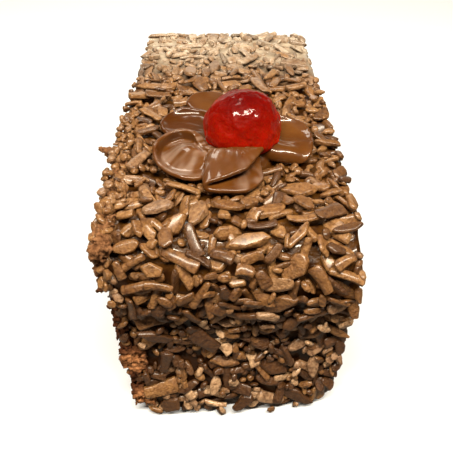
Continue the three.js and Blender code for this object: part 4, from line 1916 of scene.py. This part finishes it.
@dataclass
class Cherry:
    """Half a candied cherry, cut side down."""

    form: SliceForm
    radius: float = 9.4
    foot: float = 9.1
    height: float = 11.2
    girth: float = 1.4
    lean: float = -6.0
    seat: float = 5.2
    y: float = -23.8
    wrinkle: float = 0.5
    wrinkle_size: float = 5.5
    ripple: float = 0.2
    ripple_size: float = 1.8
    ripple_start: float = 40.0
    cut: float = 0.6
    subdivisions: int = 6

    def build(self) -> None:
        """Adds the cherry."""
        low, high = Part.CHERRY.box()
        add_piece(self.dome(), CherryFinish().material(low[2], high[2]), Part.CHERRY, stands=True)

    def dome(self) -> bpy.types.Mesh:
        """A ball pressed to the half cherry's outline, with wrinkled skin."""
        bm = bmesh.new()
        bmesh.ops.create_icosphere(bm, subdivisions=self.subdivisions, radius=1.0)
        ball = vert_points(bm.verts)
        round_ball = ball * self.radius
        bulge = self.wrinkle * solid_noise(round_ball, self.wrinkle_size, octaves=2)
        bulge += self.ripple * solid_noise(round_ball + self.ripple_start, self.ripple_size, octaves=2)
        move(bm.verts, self.pressed(ball, bulge))
        tip = Matrix.Rotation(math.radians(-self.lean), 3, "X")
        bmesh.ops.rotate(bm, cent=(0.0, 0.0, 0.0), matrix=tip, verts=bm.verts[:])
        low = self.form.top(np.array([self.y]))[0] + self.seat
        place = np.array([self.form.cherry_x, self.y, low]) + self.form.shift
        bmesh.ops.translate(bm, vec=place, verts=bm.verts[:])
        return finished_mesh(bm, "cherry_half")

    def pressed(self, ball: Array, bulge: Array) -> Array:
        """The points of a unit ball moved to the half cherry, standing on its cut face."""
        down = np.clip(-ball[:, 2] / self.cut, 0.0, 1.0)
        rim = np.sqrt(1.0 - np.minimum(np.maximum(-ball[:, 2], 0.0), self.cut) ** 2)
        wall = lerp((self.radius, self.foot), down) + bulge
        share = np.where(ball[:, 2] > 0, 1.0, 1.0 / rim)
        plan = ball[:, :2] * (share * wall)[:, None]
        rise = self.height - self.girth + bulge
        z = np.where(ball[:, 2] > 0, self.girth + ball[:, 2] * rise, self.girth * (1.0 - down))
        return np.column_stack([plan, z])


# The studio


@dataclass(frozen=True)
class Lamp:
    """A soft lamp: where it hangs, what it points at, how wide and high it is, its watts and its colour."""

    name: str
    place: Place
    target: Place
    size: Range
    power: float
    colour: Rgb

    def hang(self) -> None:
        """Adds the lamp."""
        data = bpy.data.lights.new(self.name, "AREA")
        data.shape = "RECTANGLE"
        data.size = self.size[0] * MM
        data.size_y = self.size[1] * MM
        data.energy = self.power
        data.color = self.colour
        lamp = bpy.data.objects.new(self.name, data)
        bpy.context.scene.collection.objects.link(lamp)
        lamp.location = Vector(self.place) * MM
        way = Vector(self.target) - Vector(self.place)
        lamp.rotation_euler = way.to_track_quat("-Z", "Y").to_euler()


@dataclass
class Studio:
    """The table, the lamps and the camera."""

    camera_place: Place = (0.0, -139.5, 123.5)
    camera_drop: float = 39.05
    focal_pixels: float = 532.0
    image_side: float = 453.0
    sensor_width: float = 36.0
    floor_radius: float = 420.0
    floor_sides: int = 128
    floor_gap: float = 0.2
    ambient: Rgb = (0.070, 0.053, 0.036)
    backdrop: Rgb = (1.0, 1.0, 1.0)
    lamps: Sequence[Lamp] = (
        Lamp("tube", (40.0, -260.0, 600.0), (0.0, -20.0, 50.0), (800.0, 40.0), 10.4, (1.0, 0.89, 0.71)),
        Lamp("wall", (0.0, 900.0, 220.0), (0.0, 0.0, 55.0), (1400.0, 340.0), 1.8, (1.0, 0.90, 0.74)),
        Lamp("bulb", (-170.0, 250.0, 500.0), (0.0, -20.0, 55.0), (200.0, 200.0), 1.1, (1.0, 0.93, 0.80)),
    )

    def build(self) -> None:
        """Sets all of it up."""
        self.floor()
        self.world()
        for lamp in self.lamps:
            lamp.hang()
        self.camera()
        view = bpy.context.scene.view_settings
        view.view_transform = "Standard"
        view.exposure = 0.0

    def floor(self) -> None:
        """The pale table."""
        bm = bmesh.new()
        bmesh.ops.create_circle(bm, cap_ends=True, radius=self.floor_radius, segments=self.floor_sides)
        bmesh.ops.translate(bm, vec=(0.0, 0.0, -self.floor_gap), verts=bm.verts[:])
        table = bpy.data.objects.new("table", finished_mesh(bm, "table"))
        table.data.materials.append(FloorFinish().material())
        bpy.context.scene.collection.objects.link(table)
        table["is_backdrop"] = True

    def world(self) -> None:
        """Weak light from all round, in front of a white backdrop."""
        world = bpy.data.worlds.new("studio")
        bpy.context.scene.world = world
        world.use_nodes = True
        nodes = Nodes(world.node_tree)
        direct = nodes.node("ShaderNodeLightPath", {}, "Is Camera Ray")
        shown = nodes.mix(direct, self.ambient, self.backdrop)
        nodes.feed(nodes.tree.nodes["Background"].inputs["Color"], shown)

    def camera(self) -> None:
        """The camera, where the photograph was taken from."""
        data = bpy.data.cameras.new("camera")
        data.sensor_width = self.sensor_width
        data.lens = self.focal_pixels / self.image_side * self.sensor_width
        data.clip_start = MM
        camera = bpy.data.objects.new("camera", data)
        camera.location = Vector(self.camera_place) * MM
        camera.rotation_euler = (math.radians(90.0 - self.camera_drop), 0.0, 0.0)
        bpy.context.scene.collection.objects.link(camera)
        bpy.context.scene.camera = camera


def write_sizes() -> None:
    """Works out the solids' box and the dressed part's box, in metres, but keeps neither."""
    boxes = {"cad": CAD_BOX, "visual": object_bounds()}
    {name: [list(corner) for corner in box] for name, box in boxes.items()}


def main() -> None:
    """Builds the slice from the inside out, then the studio round it."""
    logging.basicConfig(level=logging.INFO, format="%(name)s %(message)s")
    form = SliceForm()
    Sponge(form).build()
    coat = Coat(form)
    coat.keep_below(Flower(form).build())
    Cherry(form).build()
    coat.build()
    Studio().build()
    write_sizes()


if __name__ == "__main__":
    main()
